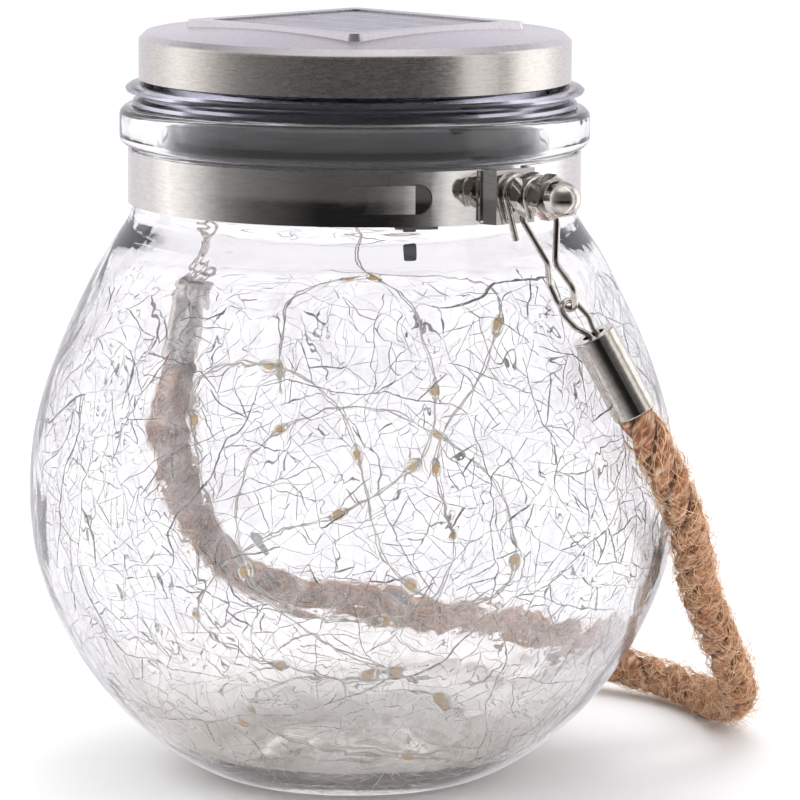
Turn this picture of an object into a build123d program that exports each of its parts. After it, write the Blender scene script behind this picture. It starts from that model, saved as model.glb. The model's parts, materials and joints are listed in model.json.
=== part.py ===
from build123d import *
import math
import os

# Solar jar lantern: a globe-shaped glass jar with a steel neck band, a push-in solar lid that
# carries a string of small lights, and a rope handle hung from two bolts on the band.
# Millimetres. Origin: centre of the base, on the surface it stands on. +Z up, X through the bolts,
# +Y on the side where the handle lies.

# ---------------------------------------------------------------- driving dimensions
jar_wall = 3.0            # glass wall of the globe
neck_r = 45.1             # outside radius of the neck
neck_in_r = 41.2          # inside radius of the neck
mouth_r = 39.6            # inside radius of the mouth
rim_r = 47.9              # outside radius of the rolled rim
rim_z0, rim_z1 = 129.9, 137.9
base_r = 26.0             # radius of the flat that the jar stands on
kick = 2.4                # height of the push-up under the base
# outside of the globe, radius and height
globe = [(36.3, 4.7), (47.8, 14.2), (58.9, 29.6), (65.2, 46.5), (66.3, 58.5), (65.5, 70.0),
         (62.2, 82.8), (54.6, 100.5), (48.6, 111.0)]

band_z0, band_z1 = 118.2, 129.0
band_in_r, band_out_r = 45.25, 46.2
bolt_z = 124.3            # height of the two bolts, the handle's pivot
bolt_r = 2.45
lug_face = 49.4           # outer face of the channel formed in the band
nut_x0, nut_x1 = 52.3, 55.4
acorn_x0 = 57.45
nut_flats = 8.0

wire_r = 0.7              # handle hook wire
eye_r = 3.55              # wire centre line round the bolt
hook_drop = 24.0          # bolt centre to the bottom of the hook
link_wire_r = 0.6
ferrule_r, ferrule_bore, ferrule_len = 4.5, 4.12, 18.0
rope_r = 4.0

lid_r, lid_skirt_z, lid_edge_z = 44.0, 143.3, 152.6
lid_sheet = 0.7
lid_dome = 2.6            # rise of the lid's middle over its edge
lid_turn = 5.0            # the square window is turned this much from the bolt line
frame_half, window_half, frame_z = 25.3, 20.8, 155.1
housing_r, housing_z0 = 36.4, 118.8
cover_z0, cover_z1 = 117.1, 118.6
plug_r = 39.1             # fins of the rubber plug

string_r = 0.5            # light string: twin wire taken as one round section
bead_long, bead_r = 4.6, 1.35

os.makedirs("parts", exist_ok=True)


def save(part, name):
    part.label = name
    export_step(part, f"parts/{name}.step")
    print(f"{name:24s} volume {part.volume:10.1f}  solids {len(part.solids())}")


def route_radii(points):
    """Largest tangent arcs: 0.45 of the shorter run over the tangent of half the turn."""
    out = []
    for p, q, r in zip(points, points[1:], points[2:]):
        a, b = Vector(*q) - Vector(*p), Vector(*r) - Vector(*q)
        out.append(0.45 * min(a.length, b.length) / math.tan(math.radians(a.get_angle(b)) / 2))
    return out


# ---------------------------------------------------------------- glass jar
def inward(points, t):
    out = []
    for i, (r, z) in enumerate(points):
        r0, z0 = points[max(i - 1, 0)]
        r1, z1 = points[min(i + 1, len(points) - 1)]
        n = math.hypot(r1 - r0, z1 - z0)
        out.append((r - t * (z1 - z0) / n, z + t * (r1 - r0) / n))
    return out


inner_globe = inward(globe, jar_wall)
with BuildPart() as glass_jar:
    with BuildSketch(Plane.XZ) as jar_section:
        with BuildLine():
            Spline((0, kick), (14, kick * 0.75), (base_r - 5, 0), tangents=[(1, 0), (1, -0.12)])
            Line((base_r - 5, 0), (base_r, 0))
            Spline((base_r, 0), *globe, (neck_r, 118.0), tangents=[(1, 0.2), (-0.08, 1)])
            Polyline((neck_r, 118.0), (neck_r, rim_z0), (rim_r, rim_z0), (rim_r, rim_z1),
                     (mouth_r, rim_z1), (mouth_r, rim_z0), (neck_in_r, rim_z0 - 2.5), (neck_in_r, 116.0))
            Spline((neck_in_r, 116.0), *reversed(inner_globe), (0, kick + 3.9),
                   tangents=[(0.08, -1), (-1, 0)])
            Line((0, kick + 3.9), (0, kick))
        make_face()
        fillet([v for v in jar_section.vertices() if v.X > rim_r - 0.01], radius=2.0)
        fillet([v for v in jar_section.vertices() if abs(v.X - mouth_r) < 0.01 and v.Y > rim_z1 - 0.1], radius=1.2)
        fillet([v for v in jar_section.vertices() if abs(v.X - neck_r) < 0.01 and v.Y > rim_z0 - 0.1], radius=0.6)
    revolve(axis=Axis.Z)
save(glass_jar.part, "glass_jar")


# ---------------------------------------------------------------- neck band with two formed channels and its clasp
def sector(r0, r1, a0, a1):
    """Outline of an annular sector, degrees from +X."""
    outer = CenterArc((0, 0), r1, a0, a1 - a0)
    inner_arc = CenterArc((0, 0), r0, a0, a1 - a0)
    Line(outer @ 0, inner_arc @ 0)
    Line(outer @ 1, inner_arc @ 1)


band_h = band_z1 - band_z0
strip = band_out_r - band_in_r
with BuildPart() as neck_band:
    with BuildSketch(Plane.XY.offset(band_z0)) as band_ring:
        Circle(band_out_r)
        Circle(band_in_r, mode=Mode.SUBTRACT)
        for side in (1, -1):
            # channel: two ramps and a flat outer face
            with BuildLine(mode=Mode.PRIVATE) as outer_line:
                Polyline((side * 44.9, -6.3), (side * lug_face, -5.0), (side * lug_face, 5.0),
                         (side * 44.9, 6.3), (side * 40, 6.3), (side * 40, -6.3), close=True)
            with BuildLine(mode=Mode.PRIVATE) as inner_line:
                Polyline((side * 44.2, -5.4), (side * (lug_face - 0.8), -4.2), (side * (lug_face - 0.8), 4.2),
                         (side * 44.2, 5.4), (side * 39, 5.4), (side * 39, -5.4), close=True)
            outer_face = make_face(outer_line.edges(), mode=Mode.PRIVATE)
            inner_face = make_face(inner_line.edges(), mode=Mode.PRIVATE)
            add(outer_face)
            add(inner_face, mode=Mode.SUBTRACT)
        Circle(band_in_r, mode=Mode.SUBTRACT)
    extrude(amount=band_h)
    # bolt holes through the channels' outer faces
    with BuildSketch(Plane.YZ.offset(-60)):
        with Locations((0, bolt_z)):
            Circle(bolt_r + 0.08)
    extrude(amount=120, mode=Mode.SUBTRACT)
    # outer end of the strap, lying over the other end
    with BuildSketch(Plane.XY.offset(band_z0)):
        with BuildLine():
            sector(band_out_r - 0.02, band_out_r + 0.55, -31.5, -8.6)
        make_face()
    extrude(amount=band_h)
    # slot in the strap end that the tongue comes out of
    slot_plane = Plane(origin=(0, 0, (band_z0 + band_z1) / 2), x_dir=(math.sin(math.radians(25.2)), math.cos(math.radians(25.2)), 0),
                       z_dir=(math.cos(math.radians(-25.2)), math.sin(math.radians(-25.2)), 0))
    with BuildSketch(slot_plane.offset(band_out_r)):
        with Locations((0.2, 0)):
            SlotOverall(6.6, 6.2)
    extrude(amount=1.2, mode=Mode.SUBTRACT)
    # tongue: comes up through the slot and is folded back over the band
    with BuildSketch(Plane.XY.offset((band_z0 + band_z1) / 2 - 2.8)):
        with BuildLine():
            sector(band_out_r + 0.62, band_out_r + 1.12, -40.2, -25.4)
        make_face()
        with BuildLine():
            sector(band_out_r - 0.1, band_out_r + 1.12, -26.2, -25.4)
        make_face()
    extrude(amount=5.6)
    tip_plane = Plane(origin=(0, 0, (band_z0 + band_z1) / 2), x_dir=(math.sin(math.radians(40.2)), math.cos(math.radians(40.2)), 0),
                      z_dir=(math.cos(math.radians(-40.2)), math.sin(math.radians(-40.2)), 0))
    with BuildSketch(tip_plane.offset(band_out_r + 0.58)):
        Circle(2.8)
    extrude(amount=0.5)
save(neck_band.part, "neck_band")


# ---------------------------------------------------------------- bolts, hex nuts and acorn nuts
def bolt(side):
    with BuildPart() as b:
        with BuildSketch(Plane.YZ.offset(side * 46.3)):
            with Locations((0, bolt_z)):
                Circle(3.75)
        extrude(amount=side * 2.2)
        with BuildSketch(Plane.YZ.offset(side * 48.4)):
            with Locations((0, bolt_z)):
                Circle(bolt_r)
        extrude(amount=side * (61.6 - 48.4))
        chamfer(b.faces().sort_by(Axis.X)[-1 if side > 0 else 0].edges(), length=0.5)
    return b.part


def hex_nut(side):
    with BuildPart() as n:
        with BuildSketch(Plane.YZ.offset(side * nut_x0)):
            with Locations((0, bolt_z)):
                RegularPolygon(nut_flats / 2, 6, major_radius=False, rotation=12)
        extrude(amount=side * (nut_x1 - nut_x0))
        # rounded corners of both faces
        with BuildSketch(Plane.XZ.offset(0)) as cut:
            with BuildLine():
                Polyline((nut_x0, bolt_z), (nut_x0, bolt_z + 3.9), (nut_x0 + 0.45, bolt_z + 4.7), (nut_x1 - 0.45, bolt_z + 4.7),
                         (nut_x1, bolt_z + 3.9), (nut_x1, bolt_z), close=True)
            make_face()
            if side < 0:
                mirror(about=Plane.YZ, mode=Mode.REPLACE)
        revolve(axis=Axis((0, 0, bolt_z), (1, 0, 0)), mode=Mode.INTERSECT)
        with BuildSketch(Plane.YZ.offset(side * (nut_x0 - 1))):
            with Locations((0, bolt_z)):
                Circle(bolt_r + 0.05)
        extrude(amount=side * 8, mode=Mode.SUBTRACT)
    return n.part


def acorn_nut(side):
    x0 = acorn_x0
    with BuildPart() as n:
        with BuildSketch(Plane.YZ.offset(side * x0)):
            with Locations((0, bolt_z)):
                RegularPolygon(nut_flats / 2, 6, major_radius=False, rotation=20)
        extrude(amount=side * 3.6)
        with BuildSketch(Plane.XZ):
            with BuildLine():
                Polyline((x0, bolt_z), (x0, bolt_z + 3.9), (x0 + 0.45, bolt_z + 4.7), (x0 + 3.0, bolt_z + 4.7),
                         (x0 + 3.6, bolt_z + 3.95), (x0 + 3.6, bolt_z), close=True)
            make_face()
            if side < 0:
                mirror(about=Plane.YZ, mode=Mode.REPLACE)
        revolve(axis=Axis((0, 0, bolt_z), (1, 0, 0)), mode=Mode.INTERSECT)
        # domed cap
        with BuildSketch(Plane.XZ):
            with BuildLine():
                Line((x0 + 3.4, bolt_z), (x0 + 3.4, bolt_z + 3.55))
                Line((x0 + 3.4, bolt_z + 3.55), (x0 + 5.95, bolt_z + 3.55))
                JernArc((x0 + 5.95, bolt_z + 3.55), (1, 0), 3.55, -90)
                Line((x0 + 9.5, bolt_z), (x0 + 3.4, bolt_z))
            make_face()
            if side < 0:
                mirror(about=Plane.YZ, mode=Mode.REPLACE)
        revolve(axis=Axis((0, 0, bolt_z), (1, 0, 0)))
        with BuildSketch(Plane.YZ.offset(side * (x0 - 1))):
            with Locations((0, bolt_z)):
                Circle(bolt_r + 0.05)
        extrude(amount=side * 6.0, mode=Mode.SUBTRACT)
    return n.part


for side, tag in ((1, "right"), (-1, "left")):
    save(bolt(side), f"lug_bolt_{tag}")
    save(hex_nut(side), f"hex_nut_{tag}")
    save(acorn_nut(side), f"acorn_nut_{tag}")


# ---------------------------------------------------------------- hooks of the handle
def wire_part(points, radii, r):
    with BuildPart() as w:
        with BuildLine() as path:
            FilletPolyline(*points, radius=radii)
        with BuildSketch(Plane(origin=path.line @ 0, z_dir=path.line % 0)):
            Circle(r)
        sweep()
    return w.part


def hook_points(side, tilt, out):
    """Tail, turn round the bolt, leg, pear-shaped eye, leg, turn round the bolt."""
    s, c = math.sin(math.radians(tilt)), math.cos(math.radians(tilt))
    xn, xc = 55.4 + out, 56.5 + out      # middle of the neck and of the eye, which leans outwards

    def at(x, n, d):      # x along the bolt, d down the hook, n across it (towards +Y)
        return (side * x, n * c + d * s, bolt_z + n * s - d * c)
    e = eye_r
    pts = [at(50.45, -e, 8.6), at(50.45, -e, -e), at(50.75, e, -e), at(51.2, e, 3.95), at(51.25, -1.75, 3.95),
           at(xn - 1.0, -0.2, 14.6), at(xc - 3.4, 0, 19.2), at(xc - 1.9, 0, hook_drop), at(xc + 2.6, 0, hook_drop),
           at(xc + 3.6, 0, 19.2), at(xn + 0.9, 0.1, 14.4), at(56.6, 2.7, 6.4), at(56.45, e, -e), at(56.45, -e, -e),
           at(56.45, -e, 3.2)]
    radii = [3.3, 3.3, 2.6, 1.5, 2.6, 2.2, 2.0, 2.2, 2.2, 2.6, 4.0, 3.3, 3.3]
    return pts, radii, at(xc + 0.95, 0, hook_drop)


tilt_right, tilt_left = 18.0, 12.0
hook_r = hook_points(1, tilt_right, 0.0)
hook_l = hook_points(-1, tilt_left, 0.6)
save(wire_part(hook_r[0], hook_r[1], wire_r), "wire_hook_right")
save(wire_part(hook_l[0], hook_l[1], wire_r), "wire_hook_left")

# ---------------------------------------------------------------- ferrules and their eyes
top_right, dir_right = Vector(61.0, 10.6, 96.5), Vector(0.251, 0.413, -0.876).normalized()
top_left, dir_left = Vector(-62.6, 5.5, 95.9), Vector(-0.34, 0.05, -0.939).normalized()


def ferrule(top, axis):
    with BuildPart() as f:
        with BuildSketch(Plane(origin=top, z_dir=axis)):
            Circle(ferrule_r)
        extrude(amount=ferrule_len)
        fillet(f.edges(), radius=0.3)
        with BuildSketch(Plane(origin=top + axis * 0.8, z_dir=axis)):
            Circle(ferrule_bore)
        extrude(amount=ferrule_len, mode=Mode.SUBTRACT)
        with BuildSketch(Plane(origin=top - axis * 1, z_dir=axis)):
            Circle(2.3)
        extrude(amount=3, mode=Mode.SUBTRACT)
    return f.part


def ferrule_eye(top, low):
    """Closed wire loop from the hook's eye into the ferrule's top."""
    up = (low - top)
    reach = up.length + wire_r + link_wire_r + 0.35
    up = up.normalized()
    nrm = (Vector(1, 0, 0) - up * up.X).normalized()
    across = nrm.cross(up)

    def at(p, e):
        return tuple(top + across * p + up * e)
    pts = [at(-2.5, -2.6), at(-0.82, -2.2), at(-0.82, 0.8), at(-1.95, 3.2), at(-1.95, reach), at(1.95, reach),
           at(1.95, 3.2), at(0.82, 0.8), at(0.82, -2.2), at(2.5, -2.6)]
    return wire_part(pts, [0.9, 2.2, 2.8, 1.9, 1.9, 2.8, 2.2, 0.9], link_wire_r)


save(ferrule(top_right, dir_right), "ferrule_right")
save(ferrule(top_left, dir_left), "ferrule_left")
save(ferrule_eye(top_right, Vector(*hook_r[2])), "ferrule_eye_right")
save(ferrule_eye(top_left, Vector(*hook_l[2])), "ferrule_eye_left")

# ---------------------------------------------------------------- rope handle, from one ferrule to the other
rope_route = [
    tuple(top_right + dir_right * 4.6),
    tuple(top_right + dir_right * 24.0),
    (67.6, 31.0, 58.5),
    (50.5, 49.5, 40.2),
    (32.1, 85.5, 4.1),
    (-20.5, 104.0, 4.2),
    (-53.8, 73.4, 14.6),
    (-68.6, 23.5, 24.5),
    (-72.3, 6.6, 50.9),
    tuple(top_left + dir_left * 24.0),
    tuple(top_left + dir_left * 4.6),
]
rope_radii = route_radii(rope_route)
rope = wire_part(rope_route, rope_radii, rope_r)
with BuildLine() as rope_line:
    FilletPolyline(*rope_route, radius=rope_radii)
rope_length = sum(e.length for e in rope_line.edges())
print("rope route", [tuple(round(c, 1) for c in p) for p in rope_route])
print("rope radii", [round(r, 1) for r in rope_radii], "length", round(rope_length, 1))
print("rope volume", round(rope.volume, 1), "section x length", round(math.pi * rope_r ** 2 * rope_length, 1))
save(rope, "rope_handle")

# ---------------------------------------------------------------- lid: cap
square = Plane(origin=(0, 0, 0), x_dir=(math.cos(math.radians(lid_turn)), math.sin(math.radians(lid_turn)), 0), z_dir=(0, 0, 1))
crown_z = lid_edge_z + lid_dome
with BuildPart() as lid_cap:
    with BuildSketch(Plane.XZ) as cap_section:
        with BuildLine():
            ThreePointArc((0, crown_z), (lid_r * 0.5, lid_edge_z + lid_dome * 0.75), (lid_r - 1.4, lid_edge_z + 0.12))
            Line((lid_r - 1.4, lid_edge_z + 0.12), (lid_r, lid_edge_z - 1.2))
            Line((lid_r, lid_edge_z - 1.2), (lid_r, lid_skirt_z))
            Line((lid_r, lid_skirt_z), (lid_r - lid_sheet, lid_skirt_z))
            Line((lid_r - lid_sheet, lid_skirt_z), (lid_r - lid_sheet, lid_edge_z - 1.5))
            Line((lid_r - lid_sheet, lid_edge_z - 1.5), (lid_r - 1.7, lid_edge_z - 0.6))
            ThreePointArc((lid_r - 1.7, lid_edge_z - 0.6), (lid_r * 0.5, lid_edge_z + lid_dome * 0.75 - lid_sheet), (0, crown_z - lid_sheet))
            Line((0, crown_z - lid_sheet), (0, crown_z))
        make_face()
        fillet(cap_section.vertices().group_by(Axis.X)[-1].sort_by(Axis.Y)[-1], radius=0.9)
    revolve(axis=Axis.Z)
    # embossed square frame round the window
    with BuildSketch(square.offset(lid_edge_z - 0.2)):
        RectangleRounded(2 * frame_half, 2 * frame_half, 2.6)
    extrude(amount=frame_z - lid_edge_z + 0.2, taper=18)
    with BuildSketch(square.offset(lid_edge_z - 1.0)):
        RectangleRounded(2 * (frame_half - 1.5), 2 * (frame_half - 1.5), 1.6)
    extrude(amount=frame_z - lid_edge_z + 1.0 - 0.7, mode=Mode.SUBTRACT)
    with BuildSketch(square.offset(lid_edge_z - 2)):
        RectangleRounded(2 * window_half, 2 * window_half, 0.8)
    extrude(amount=8, mode=Mode.SUBTRACT)
save(lid_cap.part, "lid_cap")

# solar cell in the window
with BuildPart() as solar_cell:
    with BuildSketch(square.offset(frame_z - 2.3)):
        RectangleRounded(2 * window_half - 0.3, 2 * window_half - 0.3, 0.7)
    extrude(amount=2.0)
    chamfer(solar_cell.faces().sort_by(Axis.Z)[-1].edges(), length=0.25)
save(solar_cell.part, "solar_cell")

# ---------------------------------------------------------------- lid: rubber plug
with BuildPart() as lid_gasket:
    with BuildSketch(Plane.XZ):
        with BuildLine():
            Polyline((36.6, 142.9), (42.6, 142.9), (46.0, 142.1), (46.7, 141.5), (46.5, 140.9), (44.4, 140.2),
                     (43.7, 139.5), (45.1, 139.0), (45.4, 138.3), (38.2, 138.3), (38.2, 136.4), (plug_r, 135.4),
                     (plug_r, 134.8), (37.9, 134.4), (37.9, 132.2), (plug_r, 131.2), (plug_r, 130.6), (37.6, 130.2),
                     (37.6, 127.6), (36.6, 127.0), close=True)
        make_face()
    revolve(axis=Axis.Z)
save(lid_gasket.part, "lid_gasket")

# ---------------------------------------------------------------- lid: plastic housing, open below, closed by a cover
screw_spots = [(29 * math.cos(math.radians(50 + t)), 29 * math.sin(math.radians(50 + t))) for t in (90, 215, 335)]
switch_dir = Vector(math.cos(math.radians(50)), math.sin(math.radians(50)), 0)
switch_at = switch_dir * 12.6 + Vector(-switch_dir.Y, switch_dir.X, 0) * -7.0
switch_plane = Plane(origin=(switch_at.X, switch_at.Y, 0), x_dir=switch_dir, z_dir=(0, 0, 1))
with BuildPart() as lid_housing:
    with BuildSketch(Plane.XZ) as housing_section:
        with BuildLine():
            Polyline((0, 148.6), (42.4, 148.6), (42.4, 143.0), (housing_r, 143.0), (housing_r, housing_z0),
                     (housing_r - 1.8, housing_z0), (housing_r - 1.8, 146.8), (0, 146.8), close=True)
        make_face()
    revolve(axis=Axis.Z)
    # seat of the solar cell
    with BuildSketch(square.offset(148.5)):
        RectangleRounded(2 * window_half + 2.4, 2 * window_half + 2.4, 1.2)
    extrude(amount=frame_z - 2.35 - 148.5)
    with BuildSketch(square.offset(149.6)):
        RectangleRounded(2 * window_half - 4, 2 * window_half - 4, 1.0)
    extrude(amount=6, mode=Mode.SUBTRACT)
    with BuildSketch(square.offset(140)):
        with Locations((-15, 0), (15, 0)):
            Circle(1.6)
    extrude(amount=12, mode=Mode.SUBTRACT)
    # screw bosses
    with BuildSketch(Plane.XY.offset(housing_z0)):
        with Locations(*screw_spots):
            Circle(3.0)
    extrude(amount=146.9 - housing_z0)
    with BuildSketch(Plane.XY.offset(housing_z0 - 1)):
        with Locations(*screw_spots):
            Circle(1.15)
    extrude(amount=13, mode=Mode.SUBTRACT)
save(lid_housing.part, "lid_housing")

with BuildPart() as housing_cover:
    with BuildSketch(Plane.XY.offset(cover_z0)):
        Circle(housing_r)
    extrude(amount=cover_z1 - cover_z0)
    chamfer(housing_cover.faces().sort_by(Axis.Z)[0].edges(), length=0.5)
    with BuildSketch(switch_plane.offset(cover_z0 - 1)):
        Rectangle(9.2, 5.2)
    extrude(amount=6, mode=Mode.SUBTRACT)
    with BuildSketch(Plane.XY.offset(cover_z0 - 1)):
        Circle(2.1)
        with Locations(*screw_spots):
            Circle(1.5)
    extrude(amount=6, mode=Mode.SUBTRACT)
    with BuildSketch(Plane.XY.offset(cover_z0)):
        with Locations(*screw_spots):
            Circle(2.5)
    extrude(amount=0.8, mode=Mode.SUBTRACT)
save(housing_cover.part, "housing_cover")

with BuildPart() as cover_screws:
    with BuildSketch(Plane.XY.offset(cover_z0 + 0.8)):
        with Locations(*screw_spots):
            Circle(1.1)
    extrude(amount=8.4)
    with BuildSketch(Plane.XY.offset(cover_z0 + 0.1)):
        with Locations(*screw_spots):
            Circle(2.25)
    extrude(amount=0.7)
    with BuildSketch(Plane.XY.offset(cover_z0 + 0.1)):
        with Locations(*screw_spots):
            Rectangle(2.6, 0.6)
            Rectangle(0.6, 2.6)
    extrude(amount=0.4, mode=Mode.SUBTRACT)
save(cover_screws.part, "cover_screws")

# ---------------------------------------------------------------- inside the housing, lined up with the switch
cell_y, cell_z = 10.0, 129.4


def across(x):
    """Plane across the battery, x along it."""
    return Plane(origin=tuple(switch_dir * x), x_dir=(-switch_dir.Y, switch_dir.X, 0), z_dir=tuple(switch_dir))


with BuildPart() as battery:
    with BuildSketch(across(-24)) as cell_sketch:
        with Locations((cell_y, cell_z)):
            Circle(7.1)
    extrude(amount=48.2)
    fillet(battery.edges(), radius=0.6)
    with BuildSketch(across(24.1)):
        with Locations((cell_y, cell_z)):
            Circle(2.7)
    extrude(amount=1.3)
save(battery.part, "battery")

with BuildPart() as battery_holder:
    with BuildSketch(across(-27.2)):
        with Locations((cell_y, cell_z - 0.6)):
            Rectangle(17.6, 16.6)
        with Locations((cell_y, cell_z)):
            Circle(7.35, mode=Mode.SUBTRACT)
        with Locations((cell_y, cell_z + 6.0)):
            Rectangle(12.4, 8.0, mode=Mode.SUBTRACT)
    extrude(amount=54.6)
    with BuildSketch(across(-28.4)):
        with Locations((cell_y, cell_z - 0.6)):
            Rectangle(17.6, 16.6)
    extrude(amount=1.2)
    with BuildSketch(across(27.4)):
        with Locations((cell_y, cell_z - 0.6)):
            Rectangle(17.6, 16.6)
    extrude(amount=1.0)
save(battery_holder.part, "battery_holder")

with BuildPart() as battery_contacts:
    with BuildSketch(across(-27.1)):
        with Locations((cell_y, cell_z)):
            Rectangle(9.0, 9.0)
    extrude(amount=0.4)
    with BuildSketch(across(-26.7)):
        with Locations((cell_y, cell_z)):
            Circle(3.2)
            Circle(2.2, mode=Mode.SUBTRACT)
    extrude(amount=2.65)
    with BuildSketch(across(25.45)):
        with Locations((cell_y, cell_z)):
            Rectangle(9.0, 9.0)
    extrude(amount=0.4)
save(battery_contacts.part, "battery_contacts")

with BuildPart() as circuit_board:
    with BuildSketch(Plane(origin=(0, 0, 121.6), x_dir=tuple(switch_dir), z_dir=(0, 0, 1))):
        with Locations((2, -13.8)):
            Rectangle(38, 20)
        with Locations((-14, -21), (18, -21)):
            Circle(1.2, mode=Mode.SUBTRACT)
    extrude(amount=1.6)
    with BuildSketch(Plane(origin=(0, 0, 123.2), x_dir=tuple(switch_dir), z_dir=(0, 0, 1))):
        with Locations((-6, -12)):
            Rectangle(6, 5)
        with Locations((4, -9), (4, -18)):
            Rectangle(3.2, 1.6)
    extrude(amount=1.6)
    with BuildSketch(Plane(origin=(0, 0, 123.2), x_dir=tuple(switch_dir), z_dir=(0, 0, 1))):
        with Locations((16, -16)):
            Circle(3.2)
    extrude(amount=6.5)
save(circuit_board.part, "circuit_board")

# slide switch, its body through the cover and its knob below
with BuildPart() as switch_body:
    with BuildSketch(switch_plane.offset(112.5)):
        Rectangle(8.7, 4.7)
    extrude(amount=8.8)
    with BuildSketch(switch_plane.offset(112.3)):
        Rectangle(6.6, 2.6)
    extrude(amount=3.2, mode=Mode.SUBTRACT)
save(switch_body.part, "switch_body")

with BuildPart() as switch_knob:
    with BuildSketch(switch_plane.offset(110.9)):
        with Locations((-1.4, 0)):
            Rectangle(2.6, 1.9)
    extrude(amount=4.2)
    chamfer(switch_knob.faces().sort_by(Axis.Z)[0].edges(), length=0.3)
save(switch_knob.part, "switch_knob")

with BuildPart() as string_grommet:
    with BuildSketch(Plane.XZ):
        with BuildLine():
            Polyline((string_r + 0.03, 116.1), (1.7, 116.5), (3.1, 116.95), (2.02, 117.1), (2.02, 118.7), (2.9, 118.75),
                     (2.4, 120.0), (string_r + 0.03, 120.0), close=True)
        make_face()
    revolve(axis=Axis.Z)
save(string_grommet.part, "string_grommet")

# two leads from the solar cell down to the board
lead_pts = []
inner = Plane(origin=(0, 0, 0), x_dir=tuple(switch_dir), z_dir=(0, 0, 1))
for x_top, x_low in ((-15.0, -11.0), (15.0, 10.0)):
    p0 = square.from_local_coords(Vector(x_top, 0, frame_z - 2.4))
    lead_pts.append([tuple(p0), tuple(p0 - Vector(0, 0, 6.5)), tuple(inner.from_local_coords(Vector(x_low * 1.1, -6.5, 132.5))),
                     tuple(inner.from_local_coords(Vector(x_low, -6.0, 123.3)))])
with BuildPart() as solar_leads:
    for pts in lead_pts:
        with BuildLine() as lead_line:
            FilletPolyline(*pts, radius=route_radii(pts))
        with BuildSketch(Plane(origin=lead_line.line @ 0, z_dir=lead_line.line % 0)) as lead_sec:
            Circle(0.55)
        sweep(sections=lead_sec.sketch, path=lead_line.line)
save(solar_leads.part, "solar_leads")

# ---------------------------------------------------------------- light string
string_route = [
    (0.0, 0.0, 119.6), (0.0, 0.0, 113.6), (2.0, 0.6, 107.4), (8.0, 1.8, 102.2), (15.0, 3.9, 95.5), (19.8, 4.9, 86.5), (21.7, 4.0, 77.0),
    (19.6, 3.1, 68.5), (14.2, -0.2, 61.5), (7.5, -5.0, 57.0), (2.5, -12.6, 54.0), (0.3, -22.5, 51.2),
    (-3.7, -31.6, 46.2), (-10.6, -32.9, 37.5), (-18.9, -27.2, 31.0), (-24.8, -17.1, 25.0), (-26.5, -5.2, 19.0),
    (-24.0, 7.1, 14.5), (-17.2, 18.4, 12.0), (-5.7, 24.3, 10.5), (7.4, 24.4, 9.5), (18.4, 17.2, 9.0),
    (23.1, 4.1, 8.6), (19.3, -9.7, 9.0), (8.8, -19.1, 10.0), (-5.2, -21.7, 11.5), (-16.4, -14.9, 13.0),
    (-19.0, -2.4, 14.5), (-13.5, 8.8, 15.5), (-2.6, 14.0, 16.5), (9.0, 10.7, 17.5), (16.8, 2.9, 20.5),
    (18.5, -9.0, 25.5), (13.1, -20.1, 32.0), (3.5, -26.0, 39.3), (-7.7, -27.1, 48.9), (-16.9, -26.3, 60.0),
    (-24.3, -22.7, 69.0), (-23.4, -24.8, 77.5), (-15.3, -27.6, 84.0), (-5.3, -24.9, 87.0), (3.8, -18.8, 85.0),
    (10.1, -14.4, 80.0), (13.5, -12.0, 73.0), (15.8, -10.7, 64.0), (17.9, -9.8, 54.0), (20.5, -6.7, 45.5),
    (23.8, 0.3, 39.0), (26.0, 10.8, 36.5), (24.7, 21.7, 40.0), (18.3, 29.6, 47.0), (8.4, 33.4, 55.5),
    (-2.5, 32.8, 63.0), (-13.9, 28.6, 69.0), (-23.1, 20.7, 72.0), (-28.2, 10.0, 70.0), (-28.6, -1.4, 63.0),
    (-25.4, -10.0, 54.5), (-20.0, -14.5, 45.0), (-14.2, -12.2, 36.5), (-10.7, -3.4, 30.5), (-8.5, 8.5, 27.5),
    (-7.5, 20.6, 28.5), (-4.6, 28.7, 34.5), (1.1, 27.8, 43.0), (6.7, 20.5, 51.0), (10.6, 12.6, 59.0),
    (13.2, 11.1, 68.0), (15.7, 15.6, 77.5), (16.0, 23.8, 86.0), (11.5, 30.8, 94.0), (2.2, 32.1, 100.5),
    (-7.3, 27.0, 104.0), (-14.0, 17.6, 104.5), (-16.9, 6.3, 101.5), (-16.3, -3.9, 95.5), (-12.1, -11.4, 87.5),
    (-5.5, -14.3, 79.5)]
string_radii = route_radii(string_route)
led_string = wire_part(string_route, string_radii, string_r)
with BuildLine() as string_line:
    FilletPolyline(*string_route, radius=string_radii)
string_length = sum(e.length for e in string_line.edges())
print("string radii min", round(min(string_radii), 1), "max", round(max(string_radii), 1), "length", round(string_length, 1))
print("string volume", round(led_string.volume, 1), "section x length", round(math.pi * string_r ** 2 * string_length, 1))
save(led_string, "led_string_wire")

# beads: one resin drop at the middle of each of these runs
bead_runs = [2, 5, 7, 9, 13, 16, 19, 22, 25, 28, 31, 34, 37, 40, 43, 46, 49, 52, 55, 58, 61, 64, 66, 69, 73, 76]
with BuildPart() as led_beads:
    for k in bead_runs:
        a, b = Vector(*string_route[k]), Vector(*string_route[k + 1])
        mid, run = (a + b) * 0.5, (b - a).normalized()
        drop = Plane(origin=mid, z_dir=run)
        with BuildSketch(Plane(origin=mid, x_dir=drop.x_dir, z_dir=-drop.y_dir)) as drop_half:
            with BuildLine():
                Line((0, -bead_long / 2), (0, bead_long / 2))
                Line((0, bead_long / 2), (0.6, bead_long / 2))
                ThreePointArc((0.6, bead_long / 2), (bead_r, 0), (0.6, -bead_long / 2))
                Line((0.6, -bead_long / 2), (0, -bead_long / 2))
            make_face()
        revolve(profiles=drop_half.sketch, axis=Axis(mid, run), revolution_arc=360)
save(led_beads.part, "led_beads")
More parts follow.
